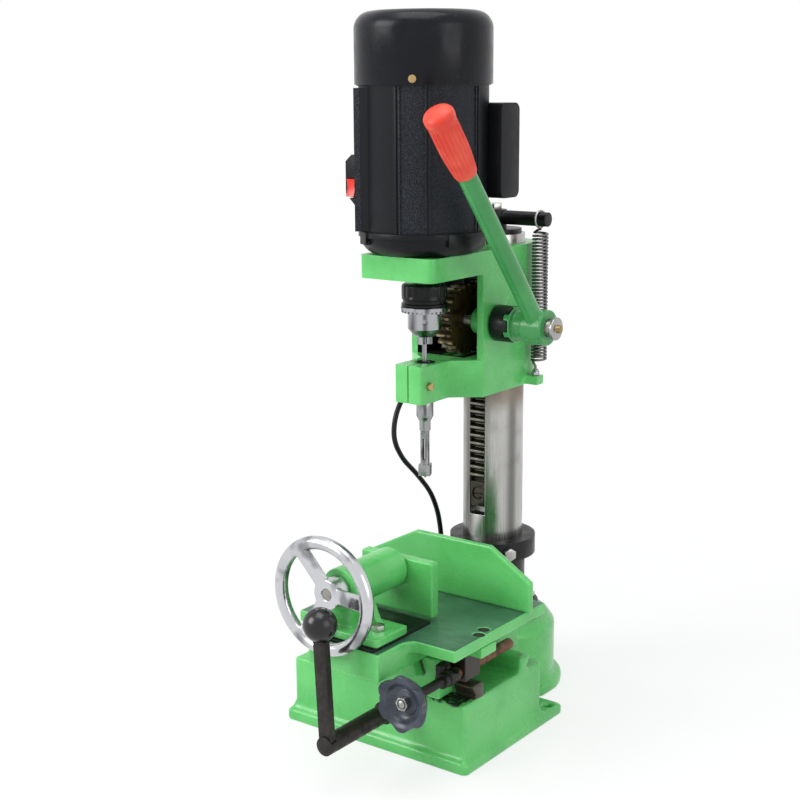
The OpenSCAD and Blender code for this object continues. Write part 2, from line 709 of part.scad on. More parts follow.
module screw_bracket() color(BLACK) {
  difference() {
    union() {
      block(saddle_x1, feed_x - 4, bracket_y0, bracket_y1, feed_z - 12, feed_z + 13);
      rod_y(feed_x, bracket_y0, bracket_y1, feed_z, 9);
    }
    rod_y(feed_x, bracket_y0 - 1, bracket_y1 + 1, feed_z, feed_rod_r + fit_gap);
    at_bracket_screws() rod_x(-1, 40, 0, 0, 2.5 + seat_gap);
    at_bracket_screws() rod_x(4, 40, 0, 0, 4.5 + seat_gap);
  }
  at_bracket_screws() translate([4, 0, 0]) rotate([0, 90, 0]) pan_screw(4.5, 3, 2.5, 14);
}

// ---------------------------------------------------------------- feed screw and knob

module feed_screw() color(STEEL) {
  rod_y(feed_x, knob_y0 + 2, bracket_y1 + slide_gap + eps, feed_z, feed_rod_r);
  rod_y(feed_x, bracket_y0 - 8, bracket_y0 - slide_gap, feed_z, 8);
  rod_y(feed_x, bracket_y1 + slide_gap, 18, feed_z, feed_r);
}

knob_lobes = 6;

module feed_knob() color(BLACK) difference() {
  lobe_r = knob_d / 6;
  intersection() {
    union() {
      rod_y(feed_x, knob_y0, knob_y1, feed_z, knob_d / 2 - 4);
      for (i = [0:knob_lobes - 1]) let (a = 90 + i * 360 / knob_lobes)
        rod_y(feed_x + (knob_d / 2 - lobe_r) * cos(a), knob_y0, knob_y1,
          feed_z + (knob_d / 2 - lobe_r) * sin(a), lobe_r, 32);
    }
    translate([feed_x, knob_y1, feed_z]) rotate([90, 0, 0])
      cylinder(r1 = knob_d / 2 - 9, r2 = knob_d / 2 + 4, h = knob_t + 1);
  }
  // the dish round its nut
  translate([feed_x, knob_y0 + 9, feed_z]) rotate([90, 0, 0]) cylinder(r1 = 12, r2 = knob_d / 2 - 8, h = 10);
  rod_y(feed_x, knob_y0 - 1, knob_y1 + 1, feed_z, feed_rod_r + fit_gap);
}

module feed_knob_nut() color(STEEL) difference() {
  translate([feed_x, knob_y0 + 9 - fit_gap, feed_z]) rotate([90, 0, 0]) cylinder(d = 13 / cos(30), h = 6.5, $fn = 6);
  rod_y(feed_x, knob_y0 - 1, knob_y0 + 10, feed_z, feed_rod_r + fit_gap);
}

// ---------------------------------------------------------------- table, fence and vise

table_x0 = cross_x - table_w / 2;
table_x1 = cross_x + table_w / 2;
guide_x0 = cross_x - guide_w / 2;
guide_x1 = cross_x + guide_w / 2;
nut_screw_at = [[feed_x + 18, -60], [feed_x + 22, -75]];
fence_screw_x = [cross_x - 70, cross_x, cross_x + 70];
fence_screw_y = fence_y + fence_t + 15;
table_screw_r = 3;

module at_nut_screws() for (p = nut_screw_at) translate([p.x, p.y, table_z - 5]) children();
module at_fence_screws() for (x = fence_screw_x) translate([x, fence_screw_y, foot_z + 4]) children();
module at_vise_bolts() for (x = vise_bolt_x) translate([x, vise_bolt_y, foot_z + 9]) children();

module table_plan() {
  translate([table_x0, -table_front]) square([table_w, table_front + table_back]);
  translate([guide_x0, -tongue_front]) square([guide_w, tongue_front]);
  // fillets where the tongue meets the plate
  fillet = 12;
  for (s = [-1, 1]) translate([cross_x + s * guide_w / 2, -table_front]) difference() {
    translate([s > 0 ? -1 : -fillet, -fillet]) square([fillet + 1, fillet + 1]);
    translate([s * fillet, -fillet]) circle(r = fillet);
  }
}

module work_table() color(GREEN) difference() {
  union() {
    translate([0, 0, table_z - table_t]) linear_extrude(table_t) table_plan();
    block(guide_x0, guide_x1, -tongue_front, table_back, table_under, table_z - eps);
    prism_y(-110, table_back - 6) polygon([
      [cross_x - tail_half(tail_z0), tail_z0], [cross_x - tail_half(table_under + 1), table_under + 1],
      [cross_x + tail_half(table_under + 1), table_under + 1], [cross_x + tail_half(tail_z0), tail_z0]]);
  }
  at_nut_screws() translate([0, 0, -20]) cylinder(r = table_screw_r + seat_gap, h = 30);
  at_nut_screws() cylinder(r = 6, h = 10);
  at_fence_screws() translate([0, 0, -20]) cylinder(r = table_screw_r + fit_gap, h = 17);
  at_vise_bolts() translate([0, 0, -26]) cylinder(r = table_screw_r + 1 + fit_gap, h = 20);
}

module feed_nut_block() color(GREEN) difference() {
  union() {
    block(feed_x - 8, feed_x + 30, nut_y0, nut_y1, nut_flange_z, table_z - table_t);
    block(feed_x - 10, feed_x + 10, nut_y0, nut_y1, feed_z - 9, nut_flange_z + 1);
  }
  rod_y(feed_x, nut_y0 - 1, nut_y1 + 1, feed_z, feed_r + fit_gap);
  at_nut_screws() translate([0, 0, -18]) cylinder(r = table_screw_r + fit_gap, h = 20);
}

module table_screws() color(STEEL) {
  at_nut_screws() pan_screw(5.5, 3.5, table_screw_r, 17);
  at_fence_screws() pan_screw(5.5, 3.5, table_screw_r, 19);
  at_vise_bolts() hex_bolt(12.5, 6, table_screw_r + 1, 25);
}

module fence() color(GREEN) difference() {
  union() {
    prism_y(fence_y, fence_y + fence_t) translate([cross_x, table_z]) polygon([
      [-fence_w / 2, 0], [fence_w / 2, 0], [fence_w / 2, fence_end_h], [fence_w / 2 - 52, fence_h],
      [-fence_w / 2 + 62, fence_h], [-fence_w / 2, fence_end_h]]);
    block(cross_x - fence_w / 2 + 16, cross_x + fence_w / 2 - 16, fence_y + fence_t - eps, fence_y + fence_t + 26,
      table_z, foot_z + 4);
  }
  at_fence_screws() translate([0, 0, -20]) cylinder(r = table_screw_r + seat_gap, h = 30);
}

module vise_slide_plate() color(BLACK) difference() {
  block(foot_x0 - 1, foot_x1 - 2, -tongue_front + 2, -80, table_z, foot_z);
  at_vise_bolts() translate([0, 0, -30]) cylinder(r = table_screw_r + 1 + seat_gap, h = 30);
}

module vise_body() color(GREEN) difference() {
  union() {
    rod_y(vise_x, -barrel_front, jaw_y0 - 1.5, vise_z, barrel_r);
    translate([0, 0, foot_z]) linear_extrude(9) rounded(foot_x0, foot_x1, foot_y0, foot_y1, 4);
    // pedestal, and a gusset towards the right
    block(vise_x - 13, vise_x + 13, -barrel_front + 2, foot_y1 - 2, foot_z + 8, vise_z);
    prism_y(-barrel_front + 24, -barrel_front + 33) polygon([
      [vise_x, foot_z + 8], [foot_x1 - 22, foot_z + 8], [foot_x1 - 27, foot_z + 14],
      [vise_x + barrel_r - 3, vise_z - 12], [vise_x, vise_z - 12]]);
  }
  rod_y(vise_x, vise_bore_y, jaw_y0 + 1, vise_z, ram_r + fit_gap);
  rod_y(vise_x, -barrel_front - 1, vise_bore_y + 1, vise_z, vise_screw_r + fit_gap);
  at_vise_bolts() translate([0, 0, -20]) cylinder(r = table_screw_r + 1 + seat_gap, h = 30);
}

module vise_jaw() color(GREEN) {
  chamfer = 2;
  x0 = vise_x - 42;
  difference() {
    union() {
      prism_y(jaw_y0, -jaw_y) polygon([
        [x0, foot_z + slide_gap], [x0 + jaw_w, foot_z + slide_gap], [x0 + jaw_w, jaw_top - chamfer],
        [x0 + jaw_w - chamfer, jaw_top], [x0 + chamfer, jaw_top], [x0, jaw_top - chamfer]]);
      rod_y(vise_x, vise_bore_y + 2, jaw_y0 + 1, vise_z, ram_r);
    }
    rod_y(vise_x, vise_bore_y + 1, jaw_y0 - 3, vise_z, vise_screw_r + fit_gap);
  }
}

hub_y0 = -wheel_y + rim_r;         // the hub lies behind the rim's plane
hub_y1 = -barrel_front - 1;

module handwheel() color(CHROME) difference() {
  union() {
    translate([vise_x, -wheel_y, vise_z]) rotate([90, 0, 0]) rotate_extrude()
      translate([wheel_d / 2 - rim_r, 0]) circle(r = rim_r, $fn = 32);
    rod_y(vise_x, hub_y0 - 3, hub_y1, vise_z, 16);
    // three dished spokes
    for (a = [2, 122, 242]) translate([vise_x, hub_y0 + 2, vise_z]) rotate([90, 0, 0]) rotate([0, 0, a])
      rotate([0, -atan2(rim_r + 2, wheel_d / 2 - rim_r - 12), 0])
        translate([12, -8, -4]) cube([wheel_d / 2 - rim_r - 10, 16, 6]);
  }
  rod_y(vise_x, -wheel_y - 20, hub_y1 + 1, vise_z, vise_screw_r + fit_gap);
}

module vise_screw() color(STEEL) rod_y(vise_x, hub_y0 - 2, -80, vise_z, vise_screw_r);

// ---------------------------------------------------------------- crank

module at_crank() translate([crank_x, -crank_y, crank_z]) rotate([0, -crank_lean, 0]) children();

module crank_shaft() color(BLACK) difference() {
  union() {
    rod_y(crank_x, -crank_y - 5.5, -base_front - 30, crank_z, crank_rod_r);
    rod_y(crank_x, -base_front - 31, -base_front - flange_lip - 2, crank_z, crank_rod_r + 2.5);
    rod_y(crank_x, -base_front - flange_lip - 3, web_half, crank_z, crank_shaft_r);
  }
  // two grooves in the collar, and the flat that seats the arm
  for (y = [-base_front - 26, -base_front - 19]) difference() {
    rod_y(crank_x, y, y + 2.5, crank_z, crank_rod_r + 4);
    rod_y(crank_x, y - 1, y + 4, crank_z, crank_rod_r + 0.8);
  }
  at_crank() block(-20, 20, -arm_t / 2 - 0.05, arm_t / 2 + 0.05, 4, 20);
}

module crank_pinion() color(STEEL) difference() {
  translate([crank_x, crank_gear_y1, crank_z]) rotate([90, 0, 0])
    linear_extrude(crank_gear_y1 - crank_gear_y0) pinion_outline(crank_teeth, 90);
  rod_y(crank_x, crank_gear_y0 - 1, crank_gear_y1 + 1, crank_z, crank_shaft_r + fit_gap);
}

module crank_arm() color([0.16, 0.13, 0.12]) at_crank() {
  block(-arm_w / 2, arm_w / 2, -arm_t / 2, arm_t / 2, 4, crank_len - ball_d / 2 + 1);
  translate([0, 0, crank_len - ball_d / 2]) cylinder(r = 4, h = 14);
}

module crank_ball() color(BLACK) at_crank() difference() {
  translate([0, 0, crank_len]) sphere(d = ball_d);
  translate([0, 0, crank_len - ball_d]) cylinder(r = arm_w / 2 + 2, h = ball_d / 2 + 1.3);
  translate([0, 0, crank_len - ball_d / 2]) cylinder(r = 4 + fit_gap, h = 14.3);
}

// ---------------------------------------------------------------- head casting

nose_bolt_z = head_z0 + 18.7;
nose_bolt_y = -18.4;

module head_plan() {
  translate([-head_w / 2, wall_y]) square([head_w, throat - wall_y]);
  translate([0, throat]) circle(r = head_w / 2);
}

module nose_plan() difference() {
  union() {
    rounded(-nose_half, nose_half, -nose_front, 19, 4);
    polygon([[-nose_half, 10], [nose_half, 10], [nose_half, 19], [head_w / 2, wall_y],
             [head_w / 2, wall_y + 10], [-head_w / 2, wall_y + 10], [-head_w / 2, wall_y], [-nose_half, 19]]);
  }
  translate([-slit_w / 2, -nose_front - 1]) square([slit_w, nose_front + 1]);
}

module head_casting() color(GREEN) difference() {
  union() {
    translate([0, 0, head_z0]) linear_extrude(head_z1 - head_z0) head_plan();
    translate([0, 0, window_z1]) linear_extrude(platform_t)
      rounded(-head_w / 2, head_w / 2, -platform_front, wall_y + 20, 8);
    translate([0, 0, head_z0]) linear_extrude(nose_h) nose_plan();
    block(head_w / 2 - 8, stud_x + 6, throat - 7, throat + 7, head_z0, head_z0 + 10);
  }
  difference() {
    block(-head_w / 2 + wall_t, head_w / 2 - wall_t, wall_y - 1, wall_y + 52, nose_z1, window_z1);
    rod_x(boss_x0, head_w / 2, pinion_y, pinion_z, bush_r + 3);
  }
  // room for the pinion, which reaches into the column's slot
  block(-pinion_w / 2 - 3, pinion_w / 2 + 3, wall_y + 6, throat - col_r + 6,
    pinion_z - head_pitch_r - addendum - 3, pinion_z + head_pitch_r + addendum + 3);
  translate([0, throat, head_z0 - 1]) cylinder(r = col_r + fit_gap, h = head_z1 - head_z0 + 2);
  // room for the corners of the rack's teeth
  block(-rack_half - 0.4, rack_half + 0.4, rack_pitch_y - addendum - 0.5, slot_y, head_z0 - 1, head_z1 + 1);
  translate([0, 0, window_z1 - 1]) cylinder(r = 16, h = platform_t + 2);
  translate([0, 0, head_z0 - 1]) cylinder(r = chisel_bush_r + fit_gap, h = nose_h + 2);
  rod_x(-head_w / 2 - 1, head_w / 2 + 1, pinion_y, pinion_z, bush_r + fit_gap);
  rod_x(-nose_half - 1, nose_half + 1, nose_bolt_y, nose_bolt_z, 4 + fit_gap);
  at_bell_screws() translate([0, 0, -18]) cylinder(r = 3 + fit_gap, h = 19);
  translate([stud_x, throat, head_z0 - 1]) cylinder(r = 3 + fit_gap, h = 12);
}

module chisel_clamp_bolt() color(BRASS) {
  translate([nose_half, nose_bolt_y, nose_bolt_z]) rotate([0, 90, 0]) hex_bolt(8, 4.5, 4, 2 * nose_half + 3);
}

module pinion_bushes() color(BRASS) {
  translate([-head_w / 2, pinion_y, pinion_z]) rotate([0, 90, 0]) tube(bush_r, pinion_shaft_r + fit_gap, 0, wall_t);
  translate([boss_x0, pinion_y, pinion_z]) rotate([0, 90, 0])
    tube(bush_r, pinion_shaft_r + fit_gap, 0, head_w / 2 - boss_x0);
}

module spring_stud() color(CHROME) translate([stud_x, throat, head_z0]) {
  cylinder(r = 3, h = 14);
  translate([0, 0, 10]) cylinder(r = 4.5, h = 4);
  translate([0, 0, 14]) cylinder(r1 = 4.5, r2 = 2.5, h = 3.5);
}

// ---------------------------------------------------------------- chisel and bit

module chisel_bush() color(BLACK) difference() {
  translate([0, 0, head_z0 - 3]) cylinder(r = chisel_bush_r, h = nose_h + 3);
  translate([0, 0, head_z0 - 4]) cylinder(r = chisel_shank_r + fit_gap, h = nose_h + 5);
}

module hollow_chisel() color(CHROME) difference() {
  head_z = head_z0 - 3;
  union() {
    translate([0, 0, head_z - 1]) cylinder(r = chisel_shank_r, h = nose_h - 4);
    translate([0, 0, head_z - 16]) cylinder(r = chisel_head_r, h = 16);
    translate([0, 0, head_z - 22]) cylinder(r1 = 6.2, r2 = chisel_head_r, h = 6);
    translate([0, 0, head_z - 32]) cylinder(r = 6.2, h = 10);
    rotate([0, 0, chisel_turn]) {
      block(-chisel_body_w / 2, chisel_body_w / 2, -chisel_body_w / 2, chisel_body_w / 2,
        chisel_tip_z + 10, head_z - 31);
      block(-chisel_w / 2, chisel_w / 2, -chisel_w / 2, chisel_w / 2, chisel_tip_z, chisel_tip_z + 12.5);
    }
  }
  translate([0, 0, chisel_tip_z - 1]) cylinder(r = bit_r + 0.6, h = 200);
  // the four corners stand lower than the sunk middle
  translate([0, 0, chisel_tip_z - 1]) cylinder(r1 = chisel_w * 0.52, r2 = bit_r, h = 4);
  // chip window in one side
  rotate([0, 0, chisel_turn]) block(-1.8, 1.8, -10, 0, chisel_tip_z + 18, chisel_tip_z + 42);
}

module auger_bit() color(CHROME) {
  translate([0, 0, chisel_tip_z + 1]) cylinder(r = bit_r, h = ring_z - 24 - chisel_tip_z);
  translate([0, 0, chisel_tip_z - 3]) cylinder(r1 = 0.8, r2 = bit_r, h = 4 + eps);
}

// ---------------------------------------------------------------- chuck and motor

module chuck_body() color(BLACK) difference() {
  union() {
    translate([0, 0, ring_z + 6]) cylinder(r = chuck_r, h = chuck_z1 - ring_z - 6);
    translate([0, 0, ring_z - 18]) cylinder(r = 18.3, h = 25);
    translate([0, 0, ring_z - 26.5]) cylinder(r1 = 11, r2 = 18.3, h = 8.5 + eps);
    // three jaws
    for (a = [30, 150, 270]) rotate([0, 0, a]) block(bit_r + 0.1, 8.5, -2.8, 2.8, ring_z - 35, ring_z - 26);
  }
  translate([0, 0, ring_z - 40]) cylinder(r = bit_r + fit_gap, h = 31);
  translate([0, 0, ring_z + 6]) cylinder(r = motor_shaft_r + fit_gap, h = 40);
  rotate([0, 0, -53]) rod_x(12, 19, 0, ring_z - 9, 3);
}

module chuck_ring() color(CHROME) difference() {
  translate([0, 0, ring_z]) cylinder(r1 = 25, r2 = 26, h = 6 - 0.1);
  translate([0, 0, ring_z - 1]) cylinder(r = 18.3 + fit_gap, h = 8);
  for (i = [0:29]) rotate([0, 0, i * 12]) block(21, 27, -1.1, 1.1, ring_z - 1, ring_z + 2.4);
}

module motor_rotor() color(STEEL) {
  translate([0, 0, ring_z + 6]) cylinder(r = motor_shaft_r, h = motor_top - 24 - ring_z - 6);
  translate([0, 0, body_z + 28]) cylinder(r = rotor_r, h = body_h - 60);
}

module motor_fan() color([0.2, 0.2, 0.22]) difference() {
  union() {
    translate([0, 0, cover_z + 8]) cylinder(r = 16, h = 30);
    translate([0, 0, cover_z + 8]) cylinder(r = 58, h = 3);
    for (i = [0:8]) rotate([0, 0, i * 40]) block(12, 58, -1.5, 1.5, cover_z + 9, cover_z + 34);
  }
  translate([0, 0, cover_z]) cylinder(r = motor_shaft_r + fit_gap, h = 60);
}

bell_screw_r = 56;
module at_bell_screws() for (a = [135, 225, 315, 45])
  translate([bell_screw_r * cos(a) * 0.72, bell_screw_r * sin(a) * 0.72, head_z1]) children();

lug_angles = [-118, -28, 62, 152];
rib_angles = [-77, -51, -2, 85, 112, 160];
pad_angle = 216;
pad_face = motor_r + 2.5;
pad_half = 36;

module motor_end_bell() color(BLACK) difference() {
  union() {
    translate([0, 0, head_z1]) rotate_extrude() intersection() {
      union() {
        square([motor_r - 19.5, bell_h]);
        translate([0, 17]) square([motor_r - 2.5, bell_h - 17]);
        translate([motor_r - 19.5, 17]) circle(r = 17);
        translate([0, bell_h - 6]) square([motor_r + 0.5, 6]);
      }
      square([motor_r + 1, bell_h]);
    }
    for (a = lug_angles) rotate([0, 0, a]) block(motor_r - 13, motor_r + 2, -7, 7, body_z - 13, body_z);
  }
  translate([0, 0, head_z1 + 9]) cylinder(r1 = motor_r - 20, r2 = motor_r - 8, h = bell_h);
  translate([0, 0, head_z1 - 1]) cylinder(r = 12, h = 20);
  at_bell_screws() translate([0, 0, -1]) cylinder(r = 3 + seat_gap, h = 12);
}

module motor_body() color(BLACK) difference() {
  union() {
    translate([0, 0, body_z]) cylinder(r = motor_r - rib_h, h = body_h);
    for (a = rib_angles, side = [-1, 1]) rotate([0, 0, a]) translate([0, side * rib_spread / 2, 0])
      block(motor_r - rib_h - 2, motor_r, -0.8, 0.8, body_z + 0.5, cover_z - 2);
    // flat pad that carries the switch
    difference() {
      rotate([0, 0, pad_angle]) block(50, pad_face, -pad_half, pad_half, body_z + 1, cover_z - 3);
      block(switch_x - 1, -50, switch_y0 - seat_gap, switch_y1 + seat_gap, switch_z0 - seat_gap, switch_z1 + seat_gap);
    }
    // spigot for the fan cover
    translate([0, 0, cover_z - 1]) cylinder(r = cover_r - 2 - seat_gap, h = 12);
  }
  translate([0, 0, body_z - 1]) cylinder(r = stator_r, h = body_h - 7);
  translate([0, 0, cover_z - 10]) cylinder(r = bearing_r + fit_gap, h = 12);
  translate([0, 0, cover_z]) cylinder(r = stator_r, h = 12);
  at_cover_screws() rod_x(-10, 1, 0, 0, 2 + seat_gap, 32);
}

bearing_r = 17.5;

module motor_bearings() color(STEEL) {
  tube(bearing_r, motor_shaft_r + fit_gap, cover_z - 8, cover_z + 2);
  tube(bearing_r, motor_shaft_r + fit_gap, head_z1 + 9, head_z1 + 19);
}

module motor_stator() color([0.5, 0.32, 0.2]) {
  tube(stator_r - seat_gap, rotor_r + 0.8, body_z + 30, cover_z - 34);
  tube(stator_r - 9, rotor_r + 8, body_z + 12, body_z + 30 + eps);
  tube(stator_r - 9, rotor_r + 8, cover_z - 34 - eps, cover_z - 16);
}

// Half of the fan cover's section, with a round shoulder
module cover_outline(r, h, shoulder) {
  square([r - shoulder, h]);
  square([r, h - shoulder]);
  translate([r - shoulder, h - shoulder]) circle(r = shoulder);
}

module fan_cover() color(BLACK) difference() {
  translate([0, 0, cover_z]) rotate_extrude() intersection() {
    cover_outline(cover_r, cover_h, 18);
    square([cover_r + 1, cover_h]);
  }
  translate([0, 0, cover_z - eps]) rotate_extrude() intersection() {
    cover_outline(cover_r - 2, cover_h - 2, 16);
    square([cover_r + 1, cover_h]);
  }
  // air slots in the top
  for (a = [0:30:330]) rotate([0, 0, a]) block(20, 46, -2, 2, motor_top - 3, motor_top + 1);
  at_cover_screws() rod_x(-3, 1, 0, 0, 2 + seat_gap, 32);
}

module at_cover_screws() for (a = [-63, 57, 177]) rotate([0, 0, a]) translate([cover_r, 0, cover_z + 5.5]) children();

module motor_screws() color(BRASS) {
  at_bell_screws() translate([0, 0, 9]) pan_screw(5, 3, 3, 24);
  at_cover_screws() rotate([0, 90, 0]) pan_screw(4, 2, 2, 3);
}

switch_x = -74;
switch_y0 = -40;
switch_y1 = -18;
switch_z0 = body_z + 19;
switch_z1 = body_z + 78;
rocker_x = switch_x + 7.5;
rocker_y = switch_y0 + 3;
rocker_z = body_z + 43;

module switch_box() color(BLACK) {
  difference() {
    prism_y(switch_y0, switch_y1) polygon([[-50, switch_z0], [switch_x + 18, switch_z0], [switch_x, switch_z0 + 18],
      [switch_x, switch_z1 - 7], [switch_x + 8, switch_z1], [-50, switch_z1]]);
    translate([0, 0, switch_z0 - 1]) cylinder(r = motor_r - rib_h + 0.1, h = switch_z1 - switch_z0 + 2);
    block(rocker_x - 5.5, rocker_x + 5.5, switch_y0 - 1, rocker_y + 4, rocker_z - 10.5, rocker_z + 10.5);
  }
  // the rocker's pivot
  rod_x(rocker_x - 6, rocker_x + 6, rocker_y, rocker_z, 1.2, 24);
}

module switch_rocker() color(RED) difference() {
  translate([0, rocker_y, rocker_z]) prism_x(rocker_x - 5.2, rocker_x + 5.2)
    polygon([[0, -9.8], [0.8, -9.4], [3.2, -2.5], [3.2, 2.5], [0.8, 9.4], [0, 9.8], [-4.2, 9.6], [-3, 0], [-6, -8.8]]);
  rod_x(rocker_x - 6, rocker_x + 6, rocker_y, rocker_z, 1.2 + fit_gap, 24);
}

module capacitor_box() color(BLACK) difference() {
  prism_x(40, 80) rounded(26, 61, body_z + 33, body_z + 131, 8);
  translate([0, 0, body_z + 20]) cylinder(r = motor_r - rib_h + 0.1, h = body_h);
}

module cord_gland() color(BLACK) difference() {
  union() {
    rotate([0, 0, 135]) block(60, gland_r + 8, -8, 8, gland_z + 20, gland_z + 38);
    translate([-gland_xy, gland_xy, gland_z]) cylinder(r1 = cord_r + 1.5, r2 = 7, h = 21);
  }
  translate([0, 0, gland_z]) cylinder(r = motor_r - rib_h + 0.1, h = 60);
}

// ---------------------------------------------------------------- pinion, clutch and lever

module at_pinion() translate([0, pinion_y, pinion_z]) rotate([0, 90, 0]) children();

module head_pinion() color([0.62, 0.55, 0.4]) difference() {
  prism_x(-pinion_w / 2, pinion_w / 2) translate([pinion_y, pinion_z]) pinion_outline(head_teeth, 0);
  rod_x(-pinion_w, pinion_w, pinion_y, pinion_z, pinion_shaft_r + fit_gap);
}

module pinion_shaft() color(STEEL) {
  rod_x(shaft_left, washer_x - 0.05, pinion_y, pinion_z, pinion_shaft_r);
  difference() {
    rod_x(shaft_left + 2, -head_w / 2 - 0.3, pinion_y, pinion_z, 16);
    rod_x(shaft_left - 1, -head_w / 2 + 1, pinion_y, pinion_z, pinion_shaft_r - 1);
  }
}

// Six bars of the given width, radial about the shaft, over a length along it
module tooth_bars(x0, x1, w) at_pinion() for (i = [0:5]) rotate([0, 0, i * 60]) block(2, 30, -w / 2, w / 2, x0, x1);

tooth_slot = 8;

module clutch_collar() color(BLACK) difference() {
  rod_x(clutch_x0, clutch_x1 + tooth_len, pinion_y, pinion_z, clutch_r);
  rod_x(clutch_x0 - 1, clutch_x1 + tooth_len + 1, pinion_y, pinion_z, pinion_shaft_r + fit_gap);
  tooth_bars(clutch_x1, clutch_x1 + tooth_len + 1, tooth_slot);
}

module lever_end_bolt() color(BRASS) {
  rod_x(washer_x, washer_x + 3, pinion_y, pinion_z, 12.5);
  translate([washer_x + 3, pinion_y, pinion_z]) rotate([0, 90, 0]) cylinder(d = 8 / cos(30), h = 5, $fn = 6);
}

module at_lever() translate([lever_x, pinion_y, pinion_z]) rotate([lever_lean, 0, 0]) children();

module lever() color(GREEN) difference() {
  union() {
    rod_x(hub_x0, hub_x1, pinion_y, pinion_z, hub_r);
    rod_x(clutch_x1 + tooth_len + 0.2, hub_x0 + 1, pinion_y, pinion_z, dog_r);
    intersection() {
      rod_x(clutch_x1 + 0.2, clutch_x1 + tooth_len + 0.3, pinion_y, pinion_z, clutch_r - 0.5);
      tooth_bars(clutch_x1, clutch_x1 + tooth_len + 1, tooth_slot - 2 * slide_gap);
    }
    rod_x(clutch_x1 + tooth_len + 0.2, clutch_x1 + tooth_len + 3, pinion_y, pinion_z, clutch_r - 0.5);
    at_lever() cylinder(r = lever_r, h = lever_len - 6);
  }
  rod_x(clutch_x1 - 1, hub_x1 + 1, pinion_y, pinion_z, pinion_shaft_r + fit_gap);
}

module lever_grip() color(RED) at_lever() difference() {
  union() {
    translate([0, 0, lever_len - grip_len]) cylinder(r1 = lever_r + 1.3, r2 = grip_r, h = grip_len * 0.35);
    translate([0, 0, lever_len - grip_len * 0.65 - eps]) cylinder(r = grip_r, h = grip_len * 0.65 - 4);
    translate([0, 0, lever_len - 12]) cylinder(r = grip_r + 0.8, h = 7);
    translate([0, 0, lever_len - 5 - eps]) cylinder(r1 = grip_r + 0.8, r2 = grip_r - 3, h = 5);
  }
  translate([0, 0, lever_len - grip_len - 1]) cylinder(r = lever_r + fit_gap, h = grip_len - 5 + fit_gap);
}

base_casting();
column_sleeve();
frame_bolts();
column();
column_rack();
rack_stop();
spring_arm();
mains_cord();
cord_coil();
cord_tie();
mains_plug();
saddle_casting();
saddle_gib();
saddle_rack();
screw_bracket();
work_table();
feed_nut_block();
table_screws();
fence();
vise_slide_plate();
vise_body();
vise_jaw();
handwheel();
vise_screw();
feed_screw();
feed_knob();
feed_knob_nut();
crank_shaft();
crank_pinion();
crank_arm();
crank_ball();
head_casting();
chisel_clamp_bolt();
chisel_bush();
hollow_chisel();
pinion_bushes();
motor_end_bell();
motor_body();
motor_stator();
fan_cover();
motor_screws();
motor_bearings();
switch_box();
switch_rocker();
capacitor_box();
cord_gland();
spring_stud();
return_spring();
motor_rotor();
motor_fan();
chuck_body();
chuck_ring();
auger_bit();
head_pinion();
pinion_shaft();
clutch_collar();
lever_end_bolt();
lever();
lever_grip();
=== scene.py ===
"""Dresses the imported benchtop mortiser: meshes, finishes, camera, lights and floor.

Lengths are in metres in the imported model's frame: X to the operator's right, Y to the back, Z up, from the
bench below the chisel. MM turns millimetres to metres.
"""

import json
import logging
from collections.abc import Callable, Sequence
from dataclasses import dataclass
from enum import Enum
from functools import cache
from math import atan2, cos, hypot, pi, radians, sin

import bmesh
import bpy
from mathutils import Matrix, Vector

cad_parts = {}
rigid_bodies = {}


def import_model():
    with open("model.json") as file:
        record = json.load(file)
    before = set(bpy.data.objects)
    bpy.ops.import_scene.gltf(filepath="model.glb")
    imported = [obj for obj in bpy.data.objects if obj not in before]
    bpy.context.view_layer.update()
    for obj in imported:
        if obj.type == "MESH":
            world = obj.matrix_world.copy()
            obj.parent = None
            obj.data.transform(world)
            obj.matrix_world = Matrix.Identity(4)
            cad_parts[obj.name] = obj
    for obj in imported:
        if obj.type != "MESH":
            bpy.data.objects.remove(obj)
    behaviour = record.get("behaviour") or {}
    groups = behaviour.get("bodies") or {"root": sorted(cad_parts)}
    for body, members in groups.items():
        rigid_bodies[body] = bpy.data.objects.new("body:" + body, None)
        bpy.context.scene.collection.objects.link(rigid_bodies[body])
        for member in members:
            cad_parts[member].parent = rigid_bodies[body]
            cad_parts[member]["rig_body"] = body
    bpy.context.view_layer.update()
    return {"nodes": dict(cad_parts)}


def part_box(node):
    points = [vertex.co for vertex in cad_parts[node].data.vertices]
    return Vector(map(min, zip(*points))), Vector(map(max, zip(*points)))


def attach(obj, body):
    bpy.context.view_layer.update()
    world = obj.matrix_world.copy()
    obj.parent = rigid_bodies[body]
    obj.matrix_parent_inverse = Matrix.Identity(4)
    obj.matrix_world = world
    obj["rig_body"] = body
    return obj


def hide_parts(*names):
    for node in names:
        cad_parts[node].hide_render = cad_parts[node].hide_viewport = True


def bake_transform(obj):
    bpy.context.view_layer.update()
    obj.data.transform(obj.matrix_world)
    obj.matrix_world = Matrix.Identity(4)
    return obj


Colour = tuple[float, float, float, float]
Point = tuple[float, float, float]
Look = tuple[object, object, object, "Socket"]
Object = bpy.types.Object
Material = bpy.types.Material

LOG = logging.getLogger("mortiser")
MM = 0.001

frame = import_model()


class Axis(Enum):
    """A row axis that an outline is pushed along, by its place in a point."""

    X = 0
    Y = 1


def srgb(*display: int) -> Colour:
    """A colour given as 0 to 255 display values, made linear."""
    parts = (value / 255 for value in display)
    return tuple(p / 12.92 if p <= 0.04045 else ((p + 0.055) / 1.055) ** 2.4 for p in parts) + (1.0,)


def scaled(colour: Colour, factor: float, lift: float = 0.0) -> Colour:
    """A colour made lighter or darker."""
    return tuple(min(1.0, c * factor + lift) for c in colour[:3]) + (1.0,)


def middle(node: str) -> list[float]:
    """The middle of a CAD node's box."""
    return [(low + high) / 2 for low, high in zip(*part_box(node))]


# ---- shader maths


